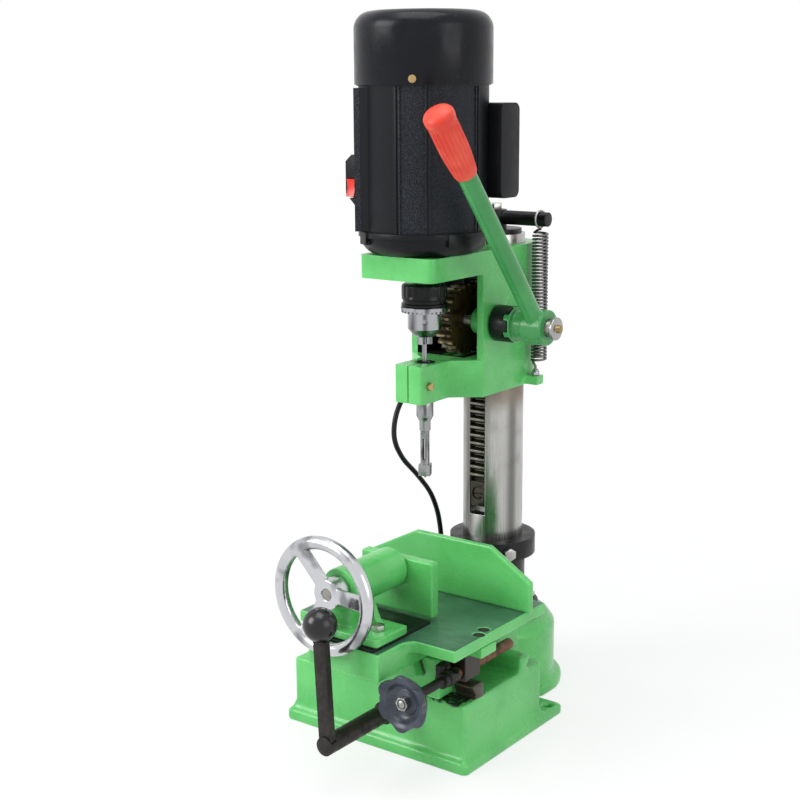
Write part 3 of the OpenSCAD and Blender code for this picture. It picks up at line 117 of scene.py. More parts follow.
def math_node(operation: str, turned: bool = False) -> Callable[["Socket", object], "Socket"]:
    """Makes an operator of Socket.

    Args:
        operation: its Math node's operation.
        turned: whether the socket stands on the operator's right.

    Returns:
        The operator's method.
    """
    def method(this: "Socket", other: object) -> "Socket":
        """Adds the node and returns its result."""
        left, right = (other, this) if turned else (this, other)
        return this.graph.node("Math", {0: left, 1: right}, operation=operation)

    return method


class Socket:
    """A shader value that Python's operators work on, each adding its Math node."""

    __add__, __radd__ = math_node("ADD"), math_node("ADD", True)
    __sub__, __rsub__ = math_node("SUBTRACT"), math_node("SUBTRACT", True)
    __mul__, __rmul__ = math_node("MULTIPLY"), math_node("MULTIPLY", True)
    __truediv__, __pow__, most = math_node("DIVIDE"), math_node("POWER"), math_node("MAXIMUM")

    def __init__(self, graph: "Graph", source: bpy.types.NodeSocket) -> None:
        """Holds an output of a graph's node."""
        self.graph = graph
        self.source = source

    def ramp(self, low: float, high: float, start: float = 0.0, end: float = 1.0) -> "Socket":
        """Maps low..high smoothly to start..end, and holds the ends."""
        return self.graph.node("MapRange", {0: self, 1: low, 2: high, 3: start, 4: end},
                               interpolation_type="SMOOTHSTEP")


class Graph:
    """A node tree under construction."""

    def __init__(self, tree: bpy.types.NodeTree) -> None:
        """Takes up a tree."""
        self.tree = tree

    def find(self, kind: str) -> bpy.types.Node:
        """The tree's first node of a type."""
        return next(node for node in self.tree.nodes if node.type == kind)

    def fill(self, node: bpy.types.Node, values: dict[object, object]) -> None:
        """Sets a node's inputs, by number or name, to values or links."""
        for key, value in values.items():
            if isinstance(value, Socket):
                self.tree.links.new(node.inputs[key], value.source)
            else:
                node.inputs[key].default_value = value

    def node(self, kind: str, values: dict[object, object], output: object = 0, **settings: object) -> Socket:
        """Adds one node.

        Args:
            kind: the node's type, without its ShaderNode.
            values: its inputs' values or links, by number or name.
            output: the output to return, by number or name.
            settings: its own settings, set first.

        Returns:
            The chosen output.
        """
        made = self.tree.nodes.new("ShaderNode" + kind)
        for key, value in settings.items():
            setattr(made, key, value)
        self.fill(made, values)
        return Socket(self, made.outputs[output])

    def show_mix(self, output: str, share: Socket, first: object, second: object) -> None:
        """Sends a mix of two shaders to the output node of a type."""
        mixed = self.node("MixShader", {0: share, 1: first, 2: second})
        self.fill(self.find(output), {"Surface": mixed})

    def seen(self) -> Socket:
        """A share that is one for camera, glossy and transmission rays."""
        camera, glossy, through = (self.node("LightPath", {}, f"Is {ray} Ray")
                                   for ray in ("Camera", "Glossy", "Transmission"))
        return camera.most(glossy).most(through)


class Shader(Graph):
    """A material under construction, on Object coordinates."""

    def __init__(self, name: str) -> None:
        """Makes an empty material with a Principled shader."""
        self.material = bpy.data.materials.new(name)
        self.material.use_nodes = True
        super().__init__(self.material.node_tree)
        self.surface = self.find("BSDF_PRINCIPLED")
        self.place = self.node("TexCoord", {}, "Object")

    def noise(self, scale: float, detail: float = 3.0, stretch: Sequence[float] = (1, 1, 1),
              roughness: float = 0.5) -> Socket:
        """Noise by its features per metre, longer along an axis with a stretch under 1."""
        place = self.node("Mapping", {"Vector": self.place, "Scale": tuple(stretch)})
        return self.node("TexNoise", {"Vector": place, "Scale": scale, "Detail": detail, "Roughness": roughness})

    def split(self, vector: Socket, axis: str) -> Socket:
        """One coordinate of a vector."""
        return self.node("SeparateXYZ", {0: vector}, axis)

    def geometry(self, output: str) -> Socket:
        """Pointiness, which is over 0.5 on edges and under it in hollows, or True Normal."""
        return self.node("NewGeometry", {}, output)

    def blend(self, share: object, low: object, high: object) -> Socket:
        """Mixes two colours by share."""
        return self.node("Mix", {0: share, 6: low, 7: high}, 2, data_type="RGBA")

    def bump(self, height: Socket, depth: float, under: Socket | None = None) -> Socket:
        """A normal from a height in 0..1 that stands for depth metres, over another bump."""
        values = {"Height": height, "Distance": depth} | ({"Normal": under} if under else {})
        return self.node("Bump", values, "Normal")


# ---- finishes


@dataclass(frozen=True)
class Patch:
    """A box on the machine where a finish is darkened, wiped or worn bare, or where shade or a highlight is painted."""

    low: Point
    high: Point
    colour: Colour
    rough: float = 0.5
    metallic: float = 0.0
    ragged: float = 0.0
    fade: float = 0.4 * MM

    def share(self, s: Shader) -> Socket:
        """How much of the patch a point has."""
        wander = (s.noise(150, 4) - 0.5) * self.ragged
        total: object = 1.0
        for axis, low, high in zip("XYZ", self.low, self.high):
            place = s.split(s.place, axis) + wander
            total = place.ramp(low - self.fade, low) * place.ramp(high, high + self.fade, 1, 0) * total
        return total


@dataclass(frozen=True)
class Finish:
    """A finish, with its material's name, main colour, slot, patches and mean roughness."""

    name: str
    colour: Colour
    slot: str = ""
    patches: tuple[Patch, ...] = ()
    rough: float = 0.3
    coat: float = 0.0
    coat_rough: float = 0.1
    specular: float = 0.5

    def look(self, s: Shader) -> Look:
        """A point's colour, roughness, metallic share and normal, before the patches."""
        raise NotImplementedError

    def make(self) -> Material:
        """Builds the material."""
        s = Shader(self.name)
        colour, rough, metallic, normal = self.look(s)
        for patch in self.patches:
            share = patch.share(s)
            colour = s.blend(share, colour, patch.colour)
            rough = rough * (1 - share) + share * patch.rough
            metallic = metallic * (1 - share) + share * patch.metallic
        s.fill(s.surface, {"Base Color": colour, "Roughness": rough, "Metallic": metallic, "Normal": normal,
                           "Coat Weight": self.coat, "Coat Roughness": self.coat_rough,
                           "Specular IOR Level": self.specular})
        return s.material


@dataclass(frozen=True)
class Enamel(Finish):
    """Gloss enamel over a casting, with painted highlights on its edges and painted shade and grime in its corners."""

    colour: Colour = srgb(106, 206, 114)
    slot: str = "green_enamel"
    coat: float = 0.2
    coat_rough: float = 0.14
    specular: float = 0.4
    shade: Colour = srgb(88, 188, 98)
    peel_depth: float = 0.12 * MM
    cast_depth: float = 0.35 * MM
    edge_highlight: float = 0.5
    shade_and_grime: float = 0.55
    chips: float = 0.5

    def look(self, s: Shader) -> Look:
        """Painted highlights on edges, painted shade and grime in hollows, and a few chips."""
        edge = s.geometry("Pointiness")
        colour = s.blend(s.noise(14, 4).ramp(0.35, 0.68), self.shade, self.colour)
        # Painted highlight: convex edges, where Pointiness is high, are lightened.
        colour = s.blend(edge.ramp(0.52, 0.6) * self.edge_highlight, colour, scaled(self.colour, 1.28, 0.02))
        # Painted shade: hollows, where Pointiness is low, are darkened towards dark green; they are also made rougher,
        # as grime.
        hollow = (1 - edge.ramp(0.42, 0.485)) * self.shade_and_grime
        colour = s.blend(hollow, colour, srgb(28, 46, 22))
        colour = s.blend(s.noise(55, 5).ramp(0.56, 0.75) * 0.16, colour, self.shade)
        chip = s.noise(420, 3).ramp(0.63, 0.66) * edge.ramp(0.545, 0.575) * self.chips
        rough = s.noise(90, 3).ramp(0.3, 0.7, self.rough - 0.07, self.rough + 0.09) + hollow * 0.3
        skin = s.bump(s.noise(330, 2), self.peel_depth)
        return s.blend(chip, colour, srgb(196, 190, 178)), rough, 0.0, s.bump(s.noise(75, 3), self.cast_depth, skin)


@dataclass(frozen=True)
class MachinedEnamel(Enamel):
    """Enamel whose upward faces were machined and wiped with dark, oily green."""

    top: Colour = srgb(62, 108, 82)

    def look(self, s: Shader) -> Look:
        """The enamel, and the wiped finish on the faces that look up."""
        colour, rough, _, normal = super().look(s)
        facing = s.split(s.geometry("True Normal"), "Z").ramp(0.96, 0.995)
        lines = s.noise(1300, 2, (0.03, 1, 1))
        oily = s.blend(s.noise(22, 4).ramp(0.35, 0.7), self.top, srgb(84, 134, 104))
        oily = s.blend(lines.ramp(0.3, 0.7) * 0.3, oily, srgb(40, 66, 52))
        rough = rough * (1 - facing) + facing * lines.ramp(0.3, 0.7, 0.34, 0.48)
        return s.blend(facing, colour, oily), rough, facing * 0.2, normal


@dataclass(frozen=True)
class Pebbled(Finish):
    """Black wrinkle enamel, as on a motor's shell, coarser on some panels.

    A panel is its middle angle and half width in degrees round the spindle, and its share of the grain.
    """

    slot: str = "black_enamel"
    rough: float = 0.42
    specular: float = 0.22
    grain: float = 620.0
    depth: float = 1.0 * MM
    panels: tuple[Point, ...] = ((-64, 12.6, 0.9), (-26.5, 24, 0.6), (216, 29, 1.0))
    between: float = 0.12

    def look(self, s: Shader) -> Look:
        """Pebbles, finer grain on them, painted highlights on the grain's peaks, and dust; coarse on the panels."""
        x, y = s.split(s.place, "X"), s.split(s.place, "Y")
        radius = (x * x + y * y) ** 0.5
        coarse = x * 0.0 + self.between
        for turn, half, share in self.panels:
            edge = cos(radians(half))
            along = (x * cos(radians(turn)) + y * sin(radians(turn))) / radius
            coarse = coarse + along.ramp(edge, edge + 0.004) * share
        fine = s.noise(self.grain * 1.7, 3)
        pebbles = s.node("TexVoronoi", {"Vector": s.place, "Scale": self.grain}, "Distance", feature="SMOOTH_F1")
        colour = s.blend(s.noise(30, 4).ramp(0.5, 0.8) * 0.12, self.colour, srgb(52, 56, 62))
        # Painted highlight: the fine grain's peaks are tinted blue-grey, most on the coarse panels.
        colour = s.blend(fine.ramp(0.46, 0.62) * coarse * 0.55, colour, srgb(66, 72, 84))
        rough = fine.ramp(0.3, 0.7, self.rough - 0.06, self.rough + 0.12)
        height = (pebbles.ramp(0.0, 0.5, 1, 0) * 0.5 + fine * 0.5) * coarse
        return colour, rough, 0.0, s.bump(height, self.depth)


@dataclass(frozen=True)
class Satin(Finish):
    """Smooth sprayed or moulded black with light scuffs."""

    specular: float = 0.2
    scuffs: float = 0.35
    ripple: float = 0.05 * MM

    def look(self, s: Shader) -> Look:
        """Dust and scuffs over a faint ripple."""
        scuff = s.noise(900, 2, (1, 0.04, 0.3)).ramp(0.66, 0.74) * s.noise(24, 2).ramp(0.5, 0.62) * self.scuffs
        colour = s.blend(s.noise(20, 4).ramp(0.4, 0.8) * 0.08, self.colour, srgb(70, 74, 82))
        rough = s.noise(60, 3).ramp(0.3, 0.7, self.rough - 0.05, self.rough + 0.08) + scuff * 0.3
        return s.blend(scuff, colour, srgb(96, 98, 100)), rough, 0.0, s.bump(s.noise(240, 2), self.ripple)


@dataclass(frozen=True)
class Turned(Finish):
    """Turned or ground steel with fine tool lines along one axis."""

    slot: str = "bright_steel"
    rough: float = 0.27
    stretch: Point = (1, 1, 0.02)
    lines: float = 1500.0
    stain: Colour = srgb(96, 84, 70)
    stains: float = 0.35
    bands: float = 0.0

    def look(self, s: Shader) -> Look:
        """Tool lines, stains and, where asked for, darker bands of painted reflection and shade."""
        line = s.noise(self.lines, 2, self.stretch)
        smear = s.noise(28, 5).ramp(0.52, 0.75) * self.stains
        colour = s.blend(line.ramp(0.3, 0.7) * 0.35, self.colour, scaled(self.colour, 0.62))
        colour = s.blend(smear, colour, self.stain)
        if self.bands:
            # Painted reflection and shade: darker bands along the axis stand in for the room reflected in round steel.
            colour = s.blend(s.noise(34, 1, self.stretch).ramp(0.44, 0.64) * self.bands, colour, srgb(84, 83, 82))
        rough = line.ramp(0.3, 0.7, self.rough - 0.08, self.rough + 0.12) + smear * 0.3
        return colour, rough, 1.0 - smear * 0.4, s.bump(line, 0.03 * MM)


@dataclass(frozen=True)
class Plated(Finish):
    """Plating with faint smudges, and bands as of a dim room's reflection."""

    slot: str = "chrome"
    rough: float = 0.24
    smudge: float = 0.16
    wave: float = 0.05 * MM
    bands: float = 0.8
    band_scale: float = 55.0
    band_stretch: Point = (1, 1, 0.06)
    band_colour: Colour = srgb(88, 88, 90)

    def look(self, s: Shader) -> Look:
        """Bands, smudges and small pits."""
        smudge = s.noise(40, 4).ramp(0.45, 0.75)
        band = s.noise(self.band_scale, 1, self.band_stretch).ramp(0.46, 0.66) * self.bands
        colour = s.blend(smudge * 0.18, s.blend(band, self.colour, self.band_colour), srgb(130, 128, 124))
        colour = s.blend(s.noise(700, 2).ramp(0.7, 0.76) * 0.4, colour, srgb(90, 84, 76))
        return colour, smudge * self.smudge + self.rough, 1.0, s.bump(s.noise(55, 2), self.wave)


@dataclass(frozen=True)
class Greased(Finish):
    """Cut steel under patchy grease or rust, bright at its tips outside a circle of y, z and radius."""

    slot: str = "greasy_gear"
    coat: float = 0.1
    coat_rough: float = 0.25
    specular: float = 0.3
    grease: Colour = srgb(128, 96, 30)
    cover: float = 0.5
    dark: Colour = srgb(24, 18, 12)
    metal: float = 0.8
    tips: Point | None = None

    def look(self, s: Shader) -> Look:
        """A film of grease and soot, wiped off the tips, which carry a painted highlight."""
        patch = s.noise(95, 5, roughness=0.62)
        film = patch.ramp(self.cover - 0.16, self.cover + 0.12)
        colour = s.blend(film, self.colour, self.grease)
        colour = s.blend(s.noise(48, 4).ramp(0.5, 0.7) * 0.75, colour, self.dark)
        if self.tips is not None:
            y, z, radius = self.tips
            away_y, away_z = s.split(s.place, "Y") - y, s.split(s.place, "Z") - z
            tip = ((away_y * away_y + away_z * away_z) ** 0.5).ramp(radius - 1.2 * MM, radius - 0.4 * MM)
            # The tips are lightened: bare metal where the grease is wiped off, with a painted highlight on it.
            colour = s.blend(tip * s.noise(170, 3).ramp(0.44, 0.6) * 0.8, colour, srgb(186, 170, 128))
        rough = film.ramp(0, 1, self.rough, self.rough + 0.25)
        return colour, rough, (1.0 - film * 0.7) * self.metal, s.bump(patch, 0.5 * MM)


@dataclass(frozen=True)
class Moulded(Finish):
    """Moulded plastic or rubber."""

    coat_rough: float = 0.08
    specular: float = 0.35
    grain: float = 500.0
    depth: float = 0.05 * MM
    tint: Colour = srgb(60, 60, 60)
    tinted: float = 0.2

    def look(self, s: Shader) -> Look:
        """A faint cloud of the tint on a fine grain."""
        colour = s.blend(s.noise(32, 4).ramp(0.42, 0.72) * self.tinted, self.colour, self.tint)
        rough = s.noise(70, 3).ramp(0.3, 0.7, self.rough - 0.04, self.rough + 0.07)
        return colour, rough, 0.0, s.bump(s.noise(self.grain, 2), self.depth)


# Near-black: painted shade in the head's pocket, and a dark patch on the base's deck.
NEAR_BLACK = srgb(15, 11, 8)
BARE = srgb(78, 72, 62)
WHITE = (1.0, 1.0, 1.0, 1.0)
END_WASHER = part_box("lever_end_bolt")[1].x - 4.9 * MM


class Palette:
    """Every finish of the machine."""

    green = Enamel("green_enamel")
    base = Enamel("base_enamel", patches=(
        Patch((0.089, -0.080, 0.0742), (0.120, -0.050, 0.094), BARE, 0.36, 0.5, 3 * MM),
        # A ragged near-black patch on the front of the deck, right of the middle.
        Patch((0.066, -0.094, 0.0735), (0.108, -0.072, 0.0745), NEAR_BLACK, 0.5, 0.0, 12 * MM, 3 * MM)))
    # Painted shade: the inside of the head's window pocket is near-black.
    head = Enamel("head_enamel", patches=(Patch((-0.0405, 0.0425, 0.4115), (0.0225, 0.100, 0.5065), NEAR_BLACK, 0.55),))
    nut_block = Enamel("nut_block_enamel", patches=(
        Patch((0.080, -0.090, 0.09), (0.112, -0.050, 0.1255), srgb(40, 30, 22), 0.45, 0.2, 5 * MM, 1 * MM),))
    lever = Enamel("lever_enamel", srgb(72, 162, 88), shade=srgb(58, 144, 76), cast_depth=0.2 * MM)
    table = MachinedEnamel("table_enamel", patches=(
        # Painted shade: the screw pockets near the table's right edge are darkened.
        Patch((0.1115, -0.082, 0.139), (0.1285, -0.053, 0.1492), srgb(20, 18, 16), 0.5),))
    black = Enamel("black_enamel", srgb(17, 18, 20), "black_enamel", shade=srgb(11, 11, 13), rough=0.36,
                   edge_highlight=0.0, shade_and_grime=0.2, chips=0.0, cast_depth=0.5 * MM, coat=0.0, specular=0.3)
    motor = Pebbled("motor_enamel", srgb(13, 15, 19))
    bell = Satin("bell_enamel", srgb(12, 13, 16), "black_enamel", rough=0.34)
    cover = Satin("cover_enamel", srgb(12, 14, 20), "fan_cover_black", rough=0.24, scuffs=0.25)
    box = Satin("box_plastic", srgb(18, 19, 22), "dull_plastic", rough=0.38, scuffs=0.15)
    sleeve = Satin("chuck_sleeve", srgb(16, 16, 18), "black_plastic", rough=0.26, scuffs=0.1)
    # The column's bands are painted reflection and shade.
    column = Turned("column_steel", srgb(184, 183, 180), stretch=(1, 1, 0.015), bands=0.8, patches=(
        Patch((-0.05, 0.09, 0.36), (0.05, 0.18, 0.38), srgb(132, 122, 112), 0.4, 0.8, 8 * MM, 30 * MM),))
    turned_x = Turned("shaft_steel", srgb(160, 158, 152), stretch=(0.03, 1, 1))
    rack = Turned("rack_steel", srgb(70, 66, 60), stretch=(0.03, 1, 1), stains=0.8, stain=srgb(24, 22, 20), patches=(
        # The tooth tips are lighter: worn steel, with a painted highlight.
        Patch((-0.02, 0.100, 0.15), (0.02, 0.1032, 0.6), srgb(126, 122, 114), 0.34, 0.8, 1.2 * MM),))
    rail = Turned("rail_steel", srgb(120, 118, 108), stretch=(0.02, 1, 1), stains=0.7, stain=srgb(44, 42, 36),
                  rough=0.36)
    spring = Turned("spring_steel", srgb(112, 111, 109), stretch=(1, 1, 1), lines=400, rough=0.24)
    chrome = Plated("chrome", srgb(172, 173, 176), rough=0.2, band_scale=80, band_colour=srgb(58, 58, 62))
    chisel = Plated("chisel_steel", srgb(158, 159, 160), band_scale=130, band_stretch=(1, 1, 0.3),
                    band_colour=srgb(66, 66, 68))
    wheel = Plated("wheel_plating", srgb(202, 203, 206), rough=0.2, smudge=0.14, wave=0.8 * MM, bands=0.7,
                   band_scale=46, band_stretch=(1, 0.5, 1), band_colour=srgb(96, 98, 103))
    zinc = Plated("yellow_zinc", srgb(190, 160, 112), "yellow_zinc", smudge=0.2, bands=0.35,
                  band_colour=srgb(128, 100, 66))
    bright_bolt = Plated("bright_bolt", srgb(178, 178, 174), "bright_steel", smudge=0.2, bands=0.3, patches=(
        # Painted shade: the screw heads down in the table's pockets are darkened.
        Patch((0.1105, -0.083, 0.10), (0.1295, -0.052, 0.152), srgb(30, 28, 25), 0.5),))
    end_bolt = Plated("end_bolt", srgb(168, 146, 98), "yellow_zinc", smudge=0.2, bands=0.35,
                      band_colour=srgb(110, 90, 56), patches=(
        Patch((0.10, 0.0, 0.4), (END_WASHER, 0.1, 0.5), srgb(164, 164, 162), 0.28, 1.0),))
    gear = Greased("greasy_gear", srgb(58, 48, 30), grease=srgb(62, 44, 12), dark=srgb(12, 9, 6), metal=0.25,
                   tips=(69.5 * MM, 450 * MM, 39 * MM))
    small_gear = Greased("crank_gear", srgb(86, 76, 60), grease=srgb(60, 46, 24), metal=0.4)
    rust = Greased("rusty_thread", srgb(118, 104, 92), "oiled_steel", grease=srgb(120, 78, 50), cover=0.42,
                   dark=srgb(34, 24, 18), rough=0.45, metal=0.6, patches=(
        Patch((0, -0.3, 0), (0.3, -0.089, 0.3), srgb(22, 20, 19), 0.42, 0.2, 1.5 * MM),))
    oiled = Greased("oiled_steel", srgb(46, 41, 38), "oiled_steel", grease=srgb(28, 24, 22), dark=srgb(14, 12, 11),
                    rough=0.38, metal=0.3)
    windings = Greased("windings", srgb(120, 84, 60))
    rotor = Turned("rotor_steel", srgb(120, 118, 114))
    ball = Moulded("ball_plastic", srgb(6, 6, 7), "black_plastic", rough=0.24, depth=0.01 * MM, tinted=0.03,
                   specular=0.5)
    knob = Moulded("knob_plastic", srgb(48, 54, 64), "dull_plastic", depth=0.06 * MM, tint=srgb(104, 112, 128),
                   tinted=0.5, specular=0.4)
    dull = Moulded("dull_plastic", srgb(18, 18, 20), "dull_plastic", rough=0.42, specular=0.25)
    plug = Moulded("plug_rubber", srgb(16, 16, 17), "black_plastic", rough=0.4, specular=0.25)
    sheath = Moulded("cord_sheath", srgb(13, 13, 14), "cord_rubber", rough=0.35, grain=300, depth=0.03 * MM,
                     specular=0.28)
    grip = Moulded("red_grip", srgb(226, 66, 48), "red_grip", rough=0.4, tint=srgb(246, 112, 88), tinted=0.5)
    rocker = Moulded("red_rocker", srgb(222, 36, 18), "red_rocker", rough=0.2, coat=0.2, tint=srgb(244, 80, 50))


@cache
def material(finish: Finish) -> Material:
    """A finish's material, made at its first use."""
    return finish.make()


# ---- mesh building


class Shape:
    """A mesh in the making, which piece ends."""

    flat: float = radians(0.6)
    sharp: float = radians(35)
    same: float = 1e-6
    rounds: int = 7

    def __init__(self) -> None:
        """Starts an empty mesh."""
        self.bm = bmesh.new()

    @classmethod
    def lathe(cls, profile: Sequence[tuple[float, float]], steps: int) -> "Shape":
        """Turns a profile about Z.

        Args:
            profile: (radius, height) pairs in metres; it closes on the axis or on itself.
            steps: the number of facets round.

        Returns:
            The closed shape.
        """
        made = cls()
        bm = made.bm
        points = [bm.verts.new((radius, 0, along)) for radius, along in profile]
        edges = [bm.edges.new(pair) for pair in zip(points, points[1:])]
        if profile[0][0] > 1e-9:
            edges.append(bm.edges.new((points[-1], points[0])))
        bmesh.ops.spin(bm, geom=points + edges, cent=(0, 0, 0), axis=(0, 0, 1), dvec=(0, 0, 0),
                       angle=2 * pi, steps=steps, use_merge=True)
        return made.merged(cls.same).outward()

    @classmethod
    def slab(cls, outline: Sequence[tuple[float, float]], axis: Axis, low: float, high: float) -> "Shape":
        """Pushes an outline along an axis.

        Args:
            outline: points in the plane across the axis: Y,Z for X and X,Z for Y.
            axis: the axis to push along.
            low: its start.
            high: its end.

        Returns:
            The closed shape.
        """
        made = cls()
        bm = made.bm
        at = axis.value
        face = bm.faces.new([bm.verts.new((*pair[:at], low, *pair[at:])) for pair in outline])
        grown = bmesh.ops.extrude_face_region(bm, geom=[face])
        for far in (g for g in grown["geom"] if isinstance(g, bmesh.types.BMVert)):
            far.co[at] = high
        return made.outward()

    @classmethod
    def ball(cls, centre: Sequence[float], radius: float) -> "Shape":
        """A smooth ball."""
        made = cls()
        bmesh.ops.create_uvsphere(made.bm, u_segments=64, v_segments=40, radius=radius,
                                  matrix=Matrix.Translation(centre))
        return made

    @classmethod
    def of(cls, node: str) -> "Shape":
        """A merged copy of a CAD node's mesh, with its flat faces made whole."""
        made = cls()
        made.bm.from_mesh(frame["nodes"][node].data)
        made.merged(2 * cls.same)
        bmesh.ops.dissolve_limit(made.bm, angle_limit=cls.flat, verts=made.bm.verts, edges=made.bm.edges)
        return made

    @classmethod
    def tube(cls, path: Sequence[Vector], radius: float, sides: int = 12) -> "Shape":
        """A round closed tube along a path, made from a curve.

        Args:
            path: its points in metres.
            radius: its radius.
            sides: its number of sides, a multiple of four over four.

        Returns:
            The closed shape.
        """
        curve = bpy.data.curves.new("line", "CURVE")
        curve.dimensions = "3D"
        curve.bevel_depth = radius
        curve.bevel_resolution = sides // 4 - 1
        curve.use_fill_caps = True
        spline = curve.splines.new("POLY")
        spline.points.add(len(path) - 1)
        for point, place in zip(spline.points, path):
            point.co = (*place, 1.0)
        made = cls()
        made.take(curve)
        bpy.data.curves.remove(curve)
        return made.merged(cls.same).outward()

    def take(self, data: bpy.types.ID, skin: float = 0.0) -> None:
        """Adds a curve or mesh as it looks, or its voxel skin of a cell size."""
        holder = bpy.data.objects.new("holder", data)
        bpy.context.scene.collection.objects.link(holder)
        if skin:
            modifier = holder.modifiers.new("skin", "REMESH")
            modifier.mode = "VOXEL"
            modifier.voxel_size = skin
        spare = bpy.data.meshes.new_from_object(holder.evaluated_get(bpy.context.evaluated_depsgraph_get()))
        self.bm.from_mesh(spare)
        bpy.data.meshes.remove(spare)
        bpy.data.objects.remove(holder)

    def merged(self, distance: float) -> "Shape":
        """Merges points that lie within a distance."""
        bmesh.ops.remove_doubles(self.bm, verts=self.bm.verts, dist=distance)
        return self

    def outward(self) -> "Shape":
        """Turns the faces outwards."""
        bmesh.ops.recalc_face_normals(self.bm, faces=self.bm.faces)
        return self

    def moved(self, matrix: Matrix) -> "Shape":
        """Moves or turns the shape."""
        bmesh.ops.transform(self.bm, matrix=matrix, verts=self.bm.verts)
        return self

    def soften(self, width: float, segments: int) -> "Shape":
        """Bevels every sharp edge."""
        sharp = [e for e in self.bm.edges if len(e.link_faces) == 2 and e.calc_face_angle(0) > self.sharp]
        bmesh.ops.bevel(self.bm, geom=sharp, offset=width, offset_type="OFFSET", segments=segments, profile=0.5,
                        affect="EDGES", clamp_overlap=True, material=-1)
        return self

    def refine(self, longest: float) -> "Shape":
        """Halves edges over longest, so that the chips, painted highlights and painted shade made from Pointiness stay
        by the edges.
        """
        bm = self.bm
        bmesh.ops.triangulate(bm, faces=bm.faces)
        for _ in range(self.rounds):
            long = [e for e in bm.edges if e.calc_length() > longest]
            if not long:
                break
            bmesh.ops.subdivide_edges(bm, edges=long, cuts=1, use_grid_fill=True)
            bmesh.ops.triangulate(bm, faces=[f for f in bm.faces if len(f.verts) > 3])
        return self

    def below(self, height: float) -> "Shape":
        """Keeps what is below a height and closes the cut."""
        bm = self.bm
        made = bmesh.ops.bisect_plane(bm, geom=bm.verts[:] + bm.edges[:] + bm.faces[:], plane_co=(0, 0, height),
                                      plane_no=(0, 0, 1), clear_outer=True)
        rim = [g for g in made["geom_cut"] if isinstance(g, bmesh.types.BMEdge)]
        bmesh.ops.triangle_fill(bm, edges=rim, use_beauty=True)
        return self.outward()

    def fluted(self, count: int, depth: float, low: float, high: float, inner: float) -> "Shape":
        """Presses flutes between two heights, outside a radius."""
        for vert in self.bm.verts:
            radius = vert.co.xy.length
            if low < vert.co.z < high and radius > inner:
                wave = 0.5 - 0.5 * cos(count * atan2(vert.co.y, vert.co.x))
                vert.co.xy = vert.co.xy * (1 - depth * wave / radius)
        return self

    def join(self, *parts: "Shape") -> "Shape":
        """Takes up other shapes, which end."""
        for part in parts:
            spare = bpy.data.meshes.new("spare")
            part.bm.to_mesh(spare)
            self.bm.from_mesh(spare)
            bpy.data.meshes.remove(spare)
            part.bm.free()
        return self

    def melt(self, cell: float, passes: int) -> "Shape":
        """Melts closed solids into one skin of even quads and smooths it.

        Args:
            cell: the skin's cell size.
            passes: how often the skin is smoothed.

        Returns:
            The same shape.
        """
        mesh = bpy.data.meshes.new("melt")
        bmesh.ops.triangulate(self.bm, faces=self.bm.faces)
        self.bm.to_mesh(mesh)
        self.bm.clear()
        self.take(mesh, cell)
        bpy.data.meshes.remove(mesh)
        for _ in range(passes):
            bmesh.ops.smooth_vert(self.bm, verts=self.bm.verts, factor=0.5, use_axis_x=True, use_axis_y=True,
                                  use_axis_z=True)
        return self

    def piece(self, name: str, smooth_angle: float = 40.0) -> Object:
        """Ends the shape as an object at the origin.

        Args:
            name: the piece's name.
            smooth_angle: edges sharper than this stay sharp.

        Returns:
            The new object.
        """
        for face in self.bm.faces:
            face.smooth = True
        for edge in self.bm.edges:
            edge.smooth = len(edge.link_faces) == 2 and edge.calc_face_angle(0) < radians(smooth_angle)
        mesh = bpy.data.meshes.new(name)
        self.bm.to_mesh(mesh)
        self.bm.free()
        made = bpy.data.objects.new(name, mesh)
        bpy.context.scene.collection.objects.link(made)
        return made


def smooth_path(points: Sequence[Vector], steps: int) -> list[Vector]:
    """A smooth curve through points, with steps stretches between each two."""
    made: list[Vector] = []
    line = [points[0], *points, points[-1]]
    for before, start, end, after in zip(line, line[1:], line[2:], line[3:]):
        for k in range(steps):
            t = k / steps
            made.append(0.5 * ((2 * start) + (end - before) * t + (2 * before - 5 * start + 4 * end - after) * t * t
                               + (3 * start - before - 3 * end + after) * t ** 3))
    return made + [points[-1]]


def dressed(piece: Object, finish: Finish, *nodes: str) -> Object:
    """Gives a new piece its finish, and hides the nodes that it stands for."""
    piece.data.materials.append(material(finish))
    if nodes:
        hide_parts(*nodes)
    return piece


def fit(piece: Object, finish: Finish, *nodes: str, body: str = "") -> Object:
    """Dresses a new piece and lets it ride on a body, or else on its first node's."""
    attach(piece, body or frame["nodes"][nodes[0]]["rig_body"])
    return dressed(piece, finish, *nodes)


# ---- sub-assemblies


@dataclass(frozen=True)
class Kept:
    """A piece from one CAD node: here, the node's own shape with a finish."""

    node: str
    finish: Finish

    def make(self) -> Object:
        """Dresses the node."""
        kept = frame["nodes"][self.node]
        kept.data.materials.clear()
        kept.data.materials.append(material(self.finish))
        return kept


@dataclass(frozen=True)
class Cast(Kept):
    """A node recast with one soft skin, its cell in millimetres."""

    cell: float = 1.5
    passes: int = 5

    def make(self) -> Object:
        """Melts the node."""
        shape = Shape.of(self.node).melt(self.cell * MM, self.passes)
        return fit(shape.piece(self.node + "_casting", 60), self.finish, self.node)


@dataclass(frozen=True)
class Crisp(Kept):
    """A node with broken edges, sized in millimetres."""

    width: float = 0.4
    segments: int = 2
    longest: float = 0.0

    def make(self) -> Object:
        """Breaks the node's edges."""
        shape = Shape.of(self.node).soften(self.width * MM, self.segments)
        if self.longest:
            shape.refine(self.longest * MM)
        return fit(shape.piece(self.node + "_machined"), self.finish, self.node)


@dataclass
class Assembly:
    """A group of pieces, with the sizes of the plain ones."""

    plain: tuple[Kept, ...] = ()

    def build(self) -> list[Object]:
        """Makes the group's pieces."""
        return [piece.make() for piece in self.plain]


